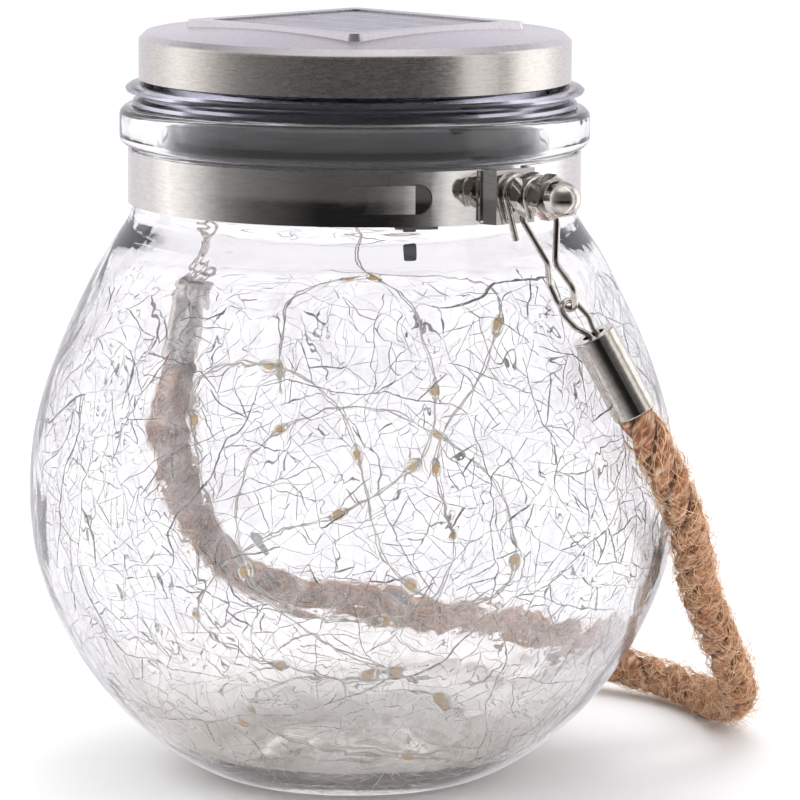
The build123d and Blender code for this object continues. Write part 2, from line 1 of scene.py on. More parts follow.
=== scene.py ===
import json
import math
import random

import bmesh
import bpy
import numpy as np
from mathutils import Matrix, Vector, noise


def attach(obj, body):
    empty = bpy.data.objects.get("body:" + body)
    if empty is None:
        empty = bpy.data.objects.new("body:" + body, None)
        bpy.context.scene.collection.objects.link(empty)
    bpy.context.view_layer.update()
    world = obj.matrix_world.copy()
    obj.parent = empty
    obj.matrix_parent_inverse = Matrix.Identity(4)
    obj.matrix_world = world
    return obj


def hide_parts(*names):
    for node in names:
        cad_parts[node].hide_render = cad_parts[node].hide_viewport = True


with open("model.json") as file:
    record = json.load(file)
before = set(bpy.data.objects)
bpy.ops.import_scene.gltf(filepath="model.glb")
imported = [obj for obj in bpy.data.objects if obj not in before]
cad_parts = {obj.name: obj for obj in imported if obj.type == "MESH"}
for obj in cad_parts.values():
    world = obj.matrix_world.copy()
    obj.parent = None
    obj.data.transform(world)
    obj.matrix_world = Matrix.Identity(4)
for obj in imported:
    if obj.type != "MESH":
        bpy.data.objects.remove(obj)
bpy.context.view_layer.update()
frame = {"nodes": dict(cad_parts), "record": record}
nodes = frame["nodes"]
scene = bpy.context.scene
MM = 0.001

# ------------------------------------------------------------------ camera
cam_data = bpy.data.cameras.new("camera")
cam = bpy.data.objects.new("camera", cam_data)
scene.collection.objects.link(cam)
cam_az, cam_dist = math.radians(50.0), 1.1
cam_right = Vector((math.cos(cam_az), math.sin(cam_az), 0))
cam.location = Vector((math.sin(cam_az) * cam_dist, -math.cos(cam_az) * cam_dist, 0.2423))
look_at = Vector((0, 0, 0.0772)) + cam_right * 0.0096
cam.rotation_mode = "QUATERNION"
aim = (look_at - cam.location).to_track_quat("-Z", "Y")
cam.rotation_quaternion = aim @ Matrix.Rotation(0.0072, 3, "Z").to_quaternion()
cam_data.sensor_width = 36.0
cam_data.lens = 244.0
cam_data.clip_start, cam_data.clip_end = 0.05, 60.0
scene.camera = cam


# ------------------------------------------------------------------ helpers
def mesh_object(name, verts, faces, smooth=True, uvs=None, colours=None, materials=(), face_mats=None):
    """A mesh from an array of points and a list or array of faces. uvs and colours are one per vertex."""
    me = bpy.data.meshes.new(name)
    verts = np.asarray(verts, np.float32).reshape(-1, 3)
    if isinstance(faces, np.ndarray):
        n, k = faces.shape
        me.vertices.add(len(verts))
        me.vertices.foreach_set("co", verts.ravel())
        me.loops.add(n * k)
        me.loops.foreach_set("vertex_index", faces.astype(np.int32).ravel())
        me.polygons.add(n)
        me.polygons.foreach_set("loop_start", np.arange(0, n * k, k, dtype=np.int32))
        me.update(calc_edges=True)
    else:
        me.from_pydata([tuple(v) for v in verts], [], [tuple(f) for f in faces])
        me.update()
    me.validate()
    me.polygons.foreach_set("use_smooth", np.full(len(me.polygons), smooth, bool))
    loops = np.zeros(len(me.loops), np.int32)
    me.loops.foreach_get("vertex_index", loops)
    if uvs is not None:
        layer = me.uv_layers.new(name="UVMap")
        layer.data.foreach_set("uv", np.asarray(uvs, np.float32)[loops].ravel())
    if colours is not None:
        layer = me.color_attributes.new(name="shade", type="FLOAT_COLOR", domain="POINT")
        layer.data.foreach_set("color", np.asarray(colours, np.float32).ravel())
    for m in materials:
        me.materials.append(m)
    if face_mats is not None:
        me.polygons.foreach_set("material_index", np.asarray(face_mats, np.int32))
    ob = bpy.data.objects.new(name, me)
    scene.collection.objects.link(ob)
    return ob


def new_material(name):
    m = bpy.data.materials.new(name)
    m.use_nodes = True
    nt = m.node_tree
    return m, nt, nt.nodes["Principled BSDF"]


def add(nt, kind, ins=None, **props):
    n = nt.nodes.new(kind)
    for k, v in props.items():
        setattr(n, k, v)
    for k, v in (ins or {}).items():
        if isinstance(v, bpy.types.NodeSocket):
            nt.links.new(v, n.inputs[k])
        else:
            n.inputs[k].default_value = v
    return n


def link(nt, a, b):
    nt.links.new(a, b)


def coords(nt, scale=(1000, 1000, 1000), rot=0.0):
    """Place in millimetres, times what scale says over 1000."""
    c = add(nt, "ShaderNodeTexCoord")
    m = add(nt, "ShaderNodeMapping", {"Vector": c.outputs["Object"], "Scale": scale, "Rotation": (0, 0, rot)})
    return m.outputs["Vector"]


def fbm(nt, vec, scale, detail=3.0, rough=0.55, distortion=0.0):
    return add(nt, "ShaderNodeTexNoise", {"Vector": vec, "Scale": scale, "Detail": detail, "Roughness": rough,
                                          "Distortion": distortion}).outputs["Fac"]


def ramp(nt, fac, stops, interp="LINEAR"):
    r = add(nt, "ShaderNodeValToRGB", {"Fac": fac})
    r.color_ramp.interpolation = interp
    els = r.color_ramp.elements
    while len(els) < len(stops):
        els.new(0.5)
    for e, (p, c) in zip(els, stops):
        e.position = p
        e.color = (*c, 1) if len(c) == 3 else c
    return r.outputs["Color"]


def to_range(nt, fac, a, b, lo=0.0, hi=1.0):
    return add(nt, "ShaderNodeMapRange", {"Value": fac, "From Min": lo, "From Max": hi, "To Min": a, "To Max": b}).outputs["Result"]


def math_node(nt, op, a, b=0.0, c=0.0):
    n = add(nt, "ShaderNodeMath", operation=op)
    for i, v in enumerate((a, b, c)):
        if isinstance(v, bpy.types.NodeSocket):
            nt.links.new(v, n.inputs[i])
        else:
            n.inputs[i].default_value = v
    return n.outputs[0]


def bump(nt, b, height, strength=0.3, distance=0.0002):
    n = add(nt, "ShaderNodeBump", {"Height": height, "Strength": strength, "Distance": distance})
    nt.links.new(n.outputs["Normal"], b.inputs["Normal"])
    return n


def lin(r, g, b):
    """Linear colour of 8-bit screen values."""
    def f(c):
        c /= 255.0
        return c / 12.92 if c <= 0.04045 else ((c + 0.055) / 1.055) ** 2.4
    return (f(r), f(g), f(b))


# ------------------------------------------------------------------ routes of the cords, in metres
rope_points = [
    (0.062155, 0.012502, 0.092470), (0.067020, 0.020510, 0.075480), (0.0676, 0.0310, 0.0585), (0.0505, 0.0495, 0.0402),
    (0.0321, 0.0855, 0.0041), (-0.0205, 0.1040, 0.0042), (-0.0538, 0.0734, 0.0146), (-0.0686, 0.0235, 0.0245),
    (-0.0723, 0.0066, 0.0509), (-0.070760, 0.006700, 0.073360), (-0.064160, 0.005730, 0.091580)]
string_points = [
    (0.0, 0.0, 0.1196), (0.0, 0.0, 0.1136), (0.002, 0.0006, 0.1074), (0.008, 0.0018, 0.1022), (0.015, 0.0039, 0.0955), (0.0198, 0.0049, 0.0865),
    (0.0217, 0.004, 0.077), (0.0196, 0.0031, 0.0685), (0.0142, -0.0002, 0.0615), (0.0075, -0.005, 0.057),
    (0.0025, -0.0126, 0.054), (0.0003, -0.0225, 0.0512), (-0.0037, -0.0316, 0.0462), (-0.0106, -0.0329, 0.0375),
    (-0.0189, -0.0272, 0.031), (-0.0248, -0.0171, 0.025), (-0.0265, -0.0052, 0.019), (-0.024, 0.0071, 0.0145),
    (-0.0172, 0.0184, 0.012), (-0.0057, 0.0243, 0.0105), (0.0074, 0.0244, 0.0095), (0.0184, 0.0172, 0.009),
    (0.0231, 0.0041, 0.0086), (0.0193, -0.0097, 0.009), (0.0088, -0.0191, 0.01), (-0.0052, -0.0217, 0.0115),
    (-0.0164, -0.0149, 0.013), (-0.019, -0.0024, 0.0145), (-0.0135, 0.0088, 0.0155), (-0.0026, 0.014, 0.0165),
    (0.009, 0.0107, 0.0175), (0.0168, 0.0029, 0.0205), (0.0185, -0.009, 0.0255), (0.0131, -0.0201, 0.032),
    (0.0035, -0.026, 0.0393), (-0.0077, -0.0271, 0.0489), (-0.0169, -0.0263, 0.06), (-0.0243, -0.0227, 0.069),
    (-0.0234, -0.0248, 0.0775), (-0.0153, -0.0276, 0.084), (-0.0053, -0.0249, 0.087), (0.0038, -0.0188, 0.085),
    (0.0101, -0.0144, 0.08), (0.0135, -0.012, 0.073), (0.0158, -0.0107, 0.064), (0.0179, -0.0098, 0.054),
    (0.0205, -0.0067, 0.0455), (0.0238, 0.0003, 0.039), (0.026, 0.0108, 0.0365), (0.0247, 0.0217, 0.04),
    (0.0183, 0.0296, 0.047), (0.0084, 0.0334, 0.0555), (-0.0025, 0.0328, 0.063), (-0.0139, 0.0286, 0.069),
    (-0.0231, 0.0207, 0.072), (-0.0282, 0.01, 0.07), (-0.0286, -0.0014, 0.063), (-0.0254, -0.01, 0.0545),
    (-0.02, -0.0145, 0.045), (-0.0142, -0.0122, 0.0365), (-0.0107, -0.0034, 0.0305), (-0.0085, 0.0085, 0.0275),
    (-0.0075, 0.0206, 0.0285), (-0.0046, 0.0287, 0.0345), (0.0011, 0.0278, 0.043), (0.0067, 0.0205, 0.051),
    (0.0106, 0.0126, 0.059), (0.0132, 0.0111, 0.068), (0.0157, 0.0156, 0.0775), (0.016, 0.0238, 0.086),
    (0.0115, 0.0308, 0.094), (0.0022, 0.0321, 0.1005), (-0.0073, 0.027, 0.104), (-0.014, 0.0176, 0.1045),
    (-0.0169, 0.0063, 0.1015), (-0.0163, -0.0039, 0.0955), (-0.0121, -0.0114, 0.0875), (-0.0055, -0.0143, 0.0795)]
bead_runs = [2, 5, 7, 9, 13, 16, 19, 22, 25, 28, 31, 34, 37, 40, 43, 46, 49, 52, 55, 58, 61, 64, 66, 69, 73, 76]


def spline_line(name, points, resolution=24):
    """The points of the NURBS spline that has the route's points as its control points."""
    cu = bpy.data.curves.new(name, "CURVE")
    cu.dimensions = "3D"
    sp = cu.splines.new("NURBS")
    sp.points.add(len(points) - 1)
    for p, c in zip(sp.points, points):
        p.co = (*c, 1)
    sp.order_u = 3
    sp.use_endpoint_u = True
    sp.resolution_u = resolution
    ob = bpy.data.objects.new(name, cu)
    scene.collection.objects.link(ob)
    bpy.context.view_layer.update()
    me = bpy.data.meshes.new_from_object(ob.evaluated_get(bpy.context.evaluated_depsgraph_get()))
    pts = np.array([v.co[:] for v in me.vertices])
    bpy.data.objects.remove(ob)
    bpy.data.curves.remove(cu)
    bpy.data.meshes.remove(me)
    keep = [0] + [i for i in range(1, len(pts)) if np.linalg.norm(pts[i] - pts[i - 1]) > 1e-7]
    return pts[keep]


def evenly(pts, step):
    d = np.r_[0, np.cumsum(np.linalg.norm(np.diff(pts, axis=0), axis=1))]
    n = max(2, int(round(d[-1] / step)))
    s = np.linspace(0, d[-1], n + 1)
    return np.stack([np.interp(s, d, pts[:, i]) for i in range(3)], 1), s


def frames(p):
    """Tangent and two sides at each point, carried along without twist."""
    t = np.gradient(p, axis=0)
    t /= np.linalg.norm(t, axis=1)[:, None]
    a = np.zeros_like(p)
    v = np.cross(t[0], (0.3, 0.2, 0.9))
    for i in range(len(p)):
        v = v - t[i] * np.dot(v, t[i])
        v /= np.linalg.norm(v)
        a[i] = v
    return t, a, np.cross(t, a)


def tube(ring_points, closed_ends=True, offset=0):
    """Faces of a tube with rings x sides points, as quads; its ends are left open."""
    n, k = ring_points
    i, j = np.meshgrid(np.arange(n - 1), np.arange(k), indexing="ij")
    a = i * k + j
    b = i * k + (j + 1) % k
    quads = np.stack([a, b, b + k, a + k], -1).reshape(-1, 4) + offset
    return quads


rng = np.random.default_rng(11)
random.seed(11)

# ------------------------------------------------------------------ rope handle: three strands
rope_line = spline_line("rope_route", rope_points)
rc, rs = evenly(rope_line, 0.00055)
rope_len = rs[-1]
rt, ra, rb = frames(rc)
pitch, n_ring, k_side = 0.0255, len(rc), 26
verts, quads, uvs, cols = [], [], [], []
ends = np.clip(np.minimum(rs, rope_len - rs) / 0.016, 0, 1)       # held tight in the ferrules
for strand in range(3):
    wobble = 0.16 * np.sin(rs * 260 + strand * 2.1) + 0.10 * np.sin(rs * 610 + strand)
    phi = 2 * math.pi * (rs / pitch + strand / 3) + wobble
    off = (1.78 + 0.16 * ends * np.sin(rs * 431 + strand * 1.7)) * MM
    mid = rc + ra * (np.cos(phi) * off)[:, None] + rb * (np.sin(phi) * off)[:, None]
    mt, _, _ = frames(mid)
    out = ra * np.cos(phi)[:, None] + rb * np.sin(phi)[:, None]
    out = out - mt * (out * mt).sum(1)[:, None]
    out /= np.linalg.norm(out, axis=1)[:, None]
    side = np.cross(mt, out)
    sl = np.r_[0, np.cumsum(np.linalg.norm(np.diff(mid, axis=0), axis=1))]
    base = len(verts) * n_ring * k_side
    block = np.zeros((n_ring, k_side, 3))
    shade = np.ones((n_ring, k_side, 4))
    uv = np.zeros((n_ring, k_side, 2))
    for k in range(k_side):
        th = 2 * math.pi * k / k_side
        # yarns laid the other way round the strand, and loose lumps
        yarn = th * 7 + sl * 2 * math.pi / 0.0125 + 1.2 * np.sin(sl * 190 + strand)
        ridge = 0.10 * np.abs(np.cos(yarn / 2)) + 0.05 * np.cos(yarn * 2 + 1)
        lump = np.array([noise.noise(Vector(m) * 620 + Vector((math.cos(th), math.sin(th), strand * 3.1)) * 0.9) for m in mid])
        fine = np.array([noise.noise(Vector(m) * 1900 + Vector((math.cos(th) * 2.6, math.sin(th) * 2.6, strand * 5.1))) for m in mid])
        r = (2.12 + ends * (ridge + 0.46 * lump + 0.20 * fine) - 0.06 * (1 - ends)) * MM
        block[:, k] = mid + out * (np.cos(th) * r)[:, None] + side * (np.sin(th) * r)[:, None]
        # painted shade: the red channel of the shade colours falls to 0 where the surface lies close to the rope's
        # middle, in the grooves between strands
        far = np.linalg.norm(block[:, k] - rc, axis=1) * 1000
        shade[:, k, 0] = np.clip((far - 2.3) / 1.7, 0, 1)
        shade[:, k, 1] = np.clip(0.5 + 1.3 * fine + 0.8 * lump, 0, 1)
        uv[:, k] = np.stack([np.full(n_ring, th / (2 * math.pi)), sl / 0.013], 1)
    verts.append(block.reshape(-1, 3))
    cols.append(shade.reshape(-1, 4))
    uvs.append(uv.reshape(-1, 2))
    quads.append(tube((n_ring, k_side), offset=base))
strands = mesh_object("rope_strands", np.concatenate(verts), np.concatenate(quads), uvs=np.concatenate(uvs), colours=np.concatenate(cols))
bm = bmesh.new()
bm.from_mesh(strands.data)
bmesh.ops.holes_fill(bm, edges=[e for e in bm.edges if e.is_boundary], sides=0)
bm.to_mesh(strands.data)
bm.free()


def fibres(name, count, seed, lying):
    """Hairs of the rope, thin curved tubes that start on its surface: lying on it, or standing off it."""
    r = np.random.default_rng(seed)
    vv, ff, cc = [], [], []
    for _ in range(count):
        i = int(r.uniform(34, n_ring - 34))
        ang = r.uniform(0, 2 * math.pi)
        radial = ra[i] * math.cos(ang) + rb[i] * math.sin(ang)
        around = np.cross(rt[i], radial)
        p = rc[i] + radial * (3.3 + 0.6 * r.random()) * MM
        way = r.choice([-1, 1])
        lift = r.uniform(0.12, 0.42) if lying else r.uniform(0.2, 0.95)
        d = rt[i] * way * r.uniform(0.4, 1.2) + around * r.uniform(-1.0, 0.7) + radial * lift
        d /= np.linalg.norm(d)
        length = r.uniform(2.5, 7.0) * MM * (1.0 if lying else 0.8 if r.random() < 0.75 else 1.3)
        curl = np.cross(d, r.normal(size=3)) * r.uniform(0.0, 0.5)
        thick = r.uniform(0.034, 0.066) * MM * (1.0 if lying else 0.75)
        pts, n = [p], 6
        for _s in range(n):
            q = pts[-1] + d * length / n
            away = q - rc[i]
            along = np.dot(away, rt[i])
            lat = np.linalg.norm(away - rt[i] * along)
            if lat > (4.25 if lying else 6.0) * MM:
                d = d - away / np.linalg.norm(away) * (0.35 if lying else 0.6)
            pts.append(q)
            d = d + curl / n * 2.0
            d -= radial * 0.05
            d /= np.linalg.norm(d)
        pts = np.array(pts)
        t, a, b = frames(pts)
        rad = thick * np.array([1, 1, 1, 1, 0.9, 0.7, 0.35])
        ring = np.stack([pts + a * (np.cos(q) * rad)[:, None] + b * (np.sin(q) * rad)[:, None] for q in (0, 2.094, 4.189)], 1)
        if ring[..., 2].min() < 0.0002:
            continue
        base = len(vv) * 21
        vv.append(ring.reshape(-1, 3))
        ff.append(tube((7, 3), offset=base))
        tone = r.random()
        cc.append(np.tile([tone, r.random(), 0, 1], (21, 1)))
    return mesh_object(name, np.concatenate(vv), np.concatenate(ff), colours=np.concatenate(cc))


rope_nap = fibres("rope_nap", 4600, 6, True)
rope_hair = fibres("rope_fibres", 2400, 5, False)

# ------------------------------------------------------------------ light string: two thin wires, resin drops and their chips
string_line = spline_line("string_route", string_points, 16)
sc_, ss = evenly(string_line, 0.0012)
string_len = ss[-1]
st, sa, sb = frames(sc_)
verts, quads = [], []
k_side = 6
for w in range(2):
    phi = 2 * math.pi * ss / 0.017 + math.pi * w + 1.4 * np.sin(ss * 95)
    gap = (0.27 + 0.10 * np.sin(ss * 210 + 1)) * MM
    mid = sc_ + sa * (np.cos(phi) * gap)[:, None] + sb * (np.sin(phi) * gap)[:, None]
    t, a, b = frames(mid)
    ring = np.stack([mid + a * (math.cos(q) * 0.15 * MM) + b * (math.sin(q) * 0.15 * MM)
                     for q in np.arange(k_side) * 2 * math.pi / k_side], 1)
    quads.append(tube((len(mid), k_side), offset=len(verts) * len(mid) * k_side))
    verts.append(ring.reshape(-1, 3))
wires = mesh_object("string_wires", np.concatenate(verts), np.concatenate(quads))
bm = bmesh.new()
bm.from_mesh(wires.data)
bmesh.ops.holes_fill(bm, edges=[e for e in bm.edges if e.is_boundary], sides=0)
bm.to_mesh(wires.data)
bm.free()

dv, df, cv, cf = [], [], [], []
for n, k in enumerate(bead_runs):
    p, q = np.array(string_points[k]), np.array(string_points[k + 1])
    mid, run = (p + q) / 2, (q - p) / np.linalg.norm(q - p)
    a = np.cross(run, (0.2, 0.5, 0.8))
    a /= np.linalg.norm(a)
    b = np.cross(run, a)
    turn = rng.uniform(0, 2 * math.pi)
    a, b = a * math.cos(turn) + b * math.sin(turn), b * math.cos(turn) - a * math.sin(turn)
    # drop: fuller on one side and towards one end
    prof = [(-2.35, 0.42), (-2.0, 0.72), (-1.4, 1.12), (-0.7, 1.38), (0.05, 1.42), (0.8, 1.26), (1.4, 0.98), (1.95, 0.66), (2.3, 0.42)]
    base = len(dv)
    m = 18
    for x, r in prof:
        for j in range(m):
            th = 2 * math.pi * j / m
            rr = r * (1 + 0.12 * math.cos(th)) * (1 + 0.05 * math.sin(3 * th + n))
            dv.append(mid + run * x * MM + a * (math.cos(th) * rr * MM) + b * (math.sin(th) * rr * 0.86 * MM))
    for i in range(len(prof) - 1):
        for j in range(m):
            df.append((base + i * m + j, base + i * m + (j + 1) % m, base + (i + 1) * m + (j + 1) % m, base + (i + 1) * m + j))
    df.append(tuple(base + j for j in reversed(range(m))))
    df.append(tuple(base + (len(prof) - 1) * m + j for j in range(m)))
    # chip: a small cushion of yellow phosphor on its pad
    base = len(cv)
    for z, s in ((-0.30, 0.82), (-0.25, 1.0), (0.12, 1.0), (0.30, 0.86), (0.38, 0.5)):
        for j in range(12):
            th = 2 * math.pi * j / 12
            sx = abs(math.cos(th)) ** 0.5 * (1 if math.cos(th) >= 0 else -1)
            sy = abs(math.sin(th)) ** 0.5 * (1 if math.sin(th) >= 0 else -1)
            cv.append(mid + run * (sx * s * 0.95) * MM + b * (sy * s * 0.62) * MM + a * (z + 0.25) * MM)
    for i in range(4):
        for j in range(12):
            cf.append((base + i * 12 + j, base + i * 12 + (j + 1) % 12, base + (i + 1) * 12 + (j + 1) % 12, base + (i + 1) * 12 + j))
    cf.append(tuple(base + j for j in reversed(range(12))))
    cf.append(tuple(base + 48 + j for j in range(12)))
drops = mesh_object("light_drops", np.array(dv), df)
chips = mesh_object("light_chips", np.array(cv), cf)


# ------------------------------------------------------------------ glass jar: blown globe with a rolled rim
def cubic(points, t0, t1, n):
    """Cubic spline through the points with end tangents, by chord length."""
    p = np.array(points, float)
    d = np.linalg.norm(np.diff(p, axis=0), axis=1)
    u = np.r_[0, np.cumsum(d)]
    m = len(p)
    A, B = np.zeros((m, m)), np.zeros((m, 2))
    A[0, 0] = A[-1, -1] = 1
    B[0], B[-1] = t0, t1
    for i in range(1, m - 1):
        h0, h1 = d[i - 1], d[i]
        A[i, i - 1], A[i, i], A[i, i + 1] = h1, 2 * (h0 + h1), h0
        B[i] = 3 * (h1 / h0 * (p[i] - p[i - 1]) + h0 / h1 * (p[i + 1] - p[i]))
    s = np.linalg.solve(A, B)
    out = []
    for x in np.linspace(0, u[-1], n):
        i = min(m - 2, int(np.searchsorted(u, x, "right") - 1))
        h = d[i]
        t = (x - u[i]) / h
        out.append((2 * t**3 - 3 * t**2 + 1) * p[i] + (t**3 - 2 * t**2 + t) * h * s[i]
                   + (-2 * t**3 + 3 * t**2) * p[i + 1] + (t**3 - t**2) * h * s[i + 1])
    return np.array(out)


def arc(cx, cz, r, a0, a1, n):
    a = np.radians(np.linspace(a0, a1, n))
    return np.stack([cx + r * np.cos(a), cz + r * np.sin(a)], 1)


globe = [(36.3, 4.7), (47.8, 14.2), (58.9, 29.6), (65.2, 46.5), (66.3, 58.5), (65.5, 70.0), (62.2, 82.8), (54.6, 100.5), (48.6, 111.0)]
inner = []
for i, (r, z) in enumerate(globe):
    r0, z0 = globe[max(i - 1, 0)]
    r1, z1 = globe[min(i + 1, len(globe) - 1)]
    n = math.hypot(r1 - r0, z1 - z0)
    inner.append((r - 3.0 * (z1 - z0) / n, z + 3.0 * (r1 - r0) / n))
outside = cubic([(26, 0), *globe, (45.1, 118)], np.array((1, 0.2)) / 1.02, np.array((-0.08, 1)) / 1.003, 120)
inside = cubic([(41.2, 116), *reversed(inner), (0, 6.3)], np.array((0.08, -1)) / 1.003, np.array((-1, 0)), 110)
under = cubic([(0, 2.4), (14, 1.8), (21, 0)], np.array((1, 0)), np.array((1, -0.12)), 14)
profile = np.concatenate([
    under, [(22.5, 0), (24.5, 0)], outside, [(45.1, 122), (45.1, 126)],
    arc(45.7, 129.3, 0.6, 180, 90, 5), arc(45.9, 131.9, 2.0, -90, 0, 9), [(47.9, 133.9)],
    arc(45.9, 135.9, 2.0, 0, 90, 9), [(43.4, 137.9)], arc(40.8, 136.7, 1.2, 90, 180, 7), [(39.6, 134), (39.6, 131.5)],
    arc(40.3, 129.6, 0.7, 180, 215, 3), arc(40.6, 126.8, 0.6, 35, 0, 3), [(41.2, 124), (41.2, 120)], inside])
keep = [0] + [i for i in range(1, len(profile)) if np.linalg.norm(profile[i] - profile[i - 1]) > 0.02]
profile = profile[keep]
n_in = len(inside)
K = 256
ang = np.arange(K) * 2 * math.pi / K
body_v, first_in = [], len(profile) - n_in
for i, (r, z) in enumerate(profile):
    if i in (0, len(profile) - 1):
        body_v.append(np.array([(0, 0, z)]))
        continue
    rr = np.full(K, r)
    # blown glass: the wall is a little thicker and thinner from place to place, on its inside
    if i >= first_in:
        fade = min(1, max(0, (112 - z) / 12)) * min(1, r / 10)
        w = np.array([noise.noise(Vector((math.cos(t) * r * 0.055, math.sin(t) * r * 0.055, z * 0.05))) for t in ang])
        w2 = np.array([noise.noise(Vector((math.cos(t) * r * 0.16 + 7, math.sin(t) * r * 0.16, z * 0.14))) for t in ang])
        rr = rr - fade * (0.30 * w + 0.06 * w2)
    body_v.append(np.stack([np.cos(ang) * rr, np.sin(ang) * rr, np.full(K, z)], 1))
starts = np.r_[0, np.cumsum([len(b) for b in body_v])]
body_v = np.concatenate(body_v) * MM
faces = []
nr = len(profile)
for j in range(K):
    jn = (j + 1) % K
    faces.append((0, starts[1] + jn, starts[1] + j))
    faces.append((starts[nr - 1], starts[nr - 2] + j, starts[nr - 2] + jn))
for i in range(1, nr - 2):
    a, b = starts[i], starts[i + 1]
    for j in range(K):
        jn = (j + 1) % K
        faces.append((a + j, a + jn, b + jn, b + j))
jar = mesh_object("jar_glass", body_v, faces)


# ------------------------------------------------------------------ cracks: thin wedges that stand for the air gaps and run in from just under the outside; their colour is painted glints and painted shade
cz = 57.0
prof_ang = np.arctan2(outside[:, 1] - cz, outside[:, 0])
prof_n = np.gradient(outside, axis=0)
prof_n = np.stack([prof_n[:, 1], -prof_n[:, 0]], 1)
prof_n /= np.linalg.norm(prof_n, axis=1)[:, None]


def on_glass(d):
    """A direction from the globe's middle -> point on its outside and the outward direction there, in millimetres."""
    el = math.atan2(d[2], math.hypot(d[0], d[1]))
    h = math.hypot(d[0], d[1]) or 1e-9
    r, z = np.interp(el, prof_ang, outside[:, 0]), np.interp(el, prof_ang, outside[:, 1])
    nr_, nz_ = np.interp(el, prof_ang, prof_n[:, 0]), np.interp(el, prof_ang, prof_n[:, 1])
    c, s = d[0] / h, d[1] / h
    return np.array((r * c, r * s, z)), np.array((nr_ * c, nr_ * s, nz_))


def split(poly, depth, out, crng, limit):
    """Cuts a patch of the sphere in two, again and again, the way craze lines meet each other."""
    c = poly.mean(0)
    size = np.linalg.norm(poly - c, axis=1).max() * 60
    area = 0.0
    for i in range(len(poly)):
        area += np.linalg.norm(np.cross(poly[i] - c, poly[(i + 1) % len(poly)] - c)) / 2
    area *= 3700
    if area < limit * crng.uniform(0.45, 1.5) or depth > 13 or size < 1.7:
        return
    d = poly - c
    u, s, vt = np.linalg.svd(d)
    axis = vt[0]
    tilt = crng.normal(0, 0.45)
    third = np.cross(c / np.linalg.norm(c), axis)
    n = axis * math.cos(tilt) + third * math.sin(tilt)
    base = c + axis * crng.normal(0, 0.14) * size / 60
    n = n - base * np.dot(n, base) / np.dot(base, base)
    side = poly @ n
    hits, parts = [], [[], []]
    for i in range(len(poly)):
        a, b = poly[i], poly[(i + 1) % len(poly)]
        parts[0 if side[i] >= 0 else 1].append(a)
        sb_ = side[(i + 1) % len(poly)]
        if side[i] * sb_ < 0:
            t = side[i] / (side[i] - sb_)
            m = a + (b - a) * t
            m /= np.linalg.norm(m)
            hits.append(m)
            parts[0].append(m)
            parts[1].append(m)
    if len(hits) != 2 or len(parts[0]) < 3 or len(parts[1]) < 3:
        return
    out.append((hits[0], hits[1], depth))
    split(np.array(parts[0]), depth + 1, out, crng, limit)
    split(np.array(parts[1]), depth + 1, out, crng, limit)


def cracks(name, seed, limit, deep):
    crng = np.random.default_rng(seed)
    lines = []
    # first patches: an icosahedron's faces
    bmi = bmesh.new()
    bmesh.ops.create_icosphere(bmi, subdivisions=2, radius=1.0)
    bmesh.ops.rotate(bmi, verts=bmi.verts, matrix=Matrix.Rotation(0.7 + seed, 3, "Z") @ Matrix.Rotation(0.5, 3, "X"))
    for f in bmi.faces:
        split(np.array([v.co.normalized()[:] for v in f.verts]), 0, lines, crng, limit)
    for e in bmi.edges:
        lines.append((np.array(e.verts[0].co.normalized()[:]), np.array(e.verts[1].co.normalized()[:]), 0))
    bmi.free()
    vv, ff = [], []
    count = 0
    for a, b, level in lines:
        long = np.linalg.norm(a - b) * 62
        if long < 0.8 or (crng.random() < 0.10 and level > 3):
            continue
        n = max(2, int(round(long / 0.85)))
        drop_to = 0.0
        lean = crng.normal(0, 0.28)
        depth = deep * crng.uniform(0.4, 1.2) * (1.2 if level < 2 else 1.0)
        thin = crng.uniform(0.045, 0.095) * (1.25 if level < 2 else 1.0)
        if crng.random() < 0.03:                # now and then one runs in deep and slanted, and shines
            lean, depth = lean * 1.6 + 0.25, depth * 1.9
        pts = []
        for i in range(n + 1):
            d = a + (b - a) * i / n
            d /= np.linalg.norm(d)
            v = Vector(d)
            w = noise.noise_vector(v * 5.2 + Vector((seed, 3, 9))) * 0.062 + noise.noise_vector(v * 15 + Vector((1, seed, 4))) * 0.011 \
                + noise.noise_vector(v * 46 + Vector((5, 2, seed))) * 0.0055
            d = d + np.array(w[:])
            d /= np.linalg.norm(d)
            pts.append(on_glass(d))
        top = max(p[0][2] for p in pts)
        if top > 107.5 + 3 * noise.noise(Vector(pts[0][0]) * 0.05) or min(p[0][2] for p in pts) < 1.5:
            continue
        if crng.random() < max(0, (top - 92) / 20) ** 1.6:
            continue
        P = np.array([p[0] for p in pts])
        Nn = np.array([p[1] for p in pts])
        T = np.gradient(P, axis=0)
        T /= np.linalg.norm(T, axis=1)[:, None] + 1e-9
        S = np.cross(T, Nn)
        rings = []
        for i in range(n + 1):
            e = min(i, n - i) / max(1, n)
            g = (0.55 + 0.45 * min(1, e * 5)) * (1 + 0.45 * noise.noise(Vector(P[i]) * 0.9 + Vector((seed, 0, 0))))
            ln = lean + 0.22 * noise.noise(Vector(P[i]) * 0.5 + Vector((0, seed, 0)))
            inw = -Nn[i] * math.cos(ln) + S[i] * math.sin(ln)
            dd = min(2.4, max(0.12, depth * g))
            mid = P[i] - Nn[i] * 0.10
            rings.append([mid + S[i] * thin / 2, mid - S[i] * thin / 2, mid + inw * dd])
        vv.append(np.array(rings).reshape(-1, 3))
        ff.append(tube((n + 1, 3), offset=count))
        ff.append(np.array([[count, count + 2, count + 1, count + 1], [count + n * 3, count + n * 3 + 1, count + n * 3 + 2, count + n * 3 + 2]]))
        count += 3 * (n + 1)
    quads_ = np.concatenate(ff)
    V = np.concatenate(vv) * MM
    fl = [tuple(q) if q[2] != q[3] else tuple(q[:3]) for q in quads_.tolist()]
    ob = mesh_object(name, V, fl, smooth=False)
    return ob


crack_a = cracks("glass_cracks", 3, 15.0, 0.44)
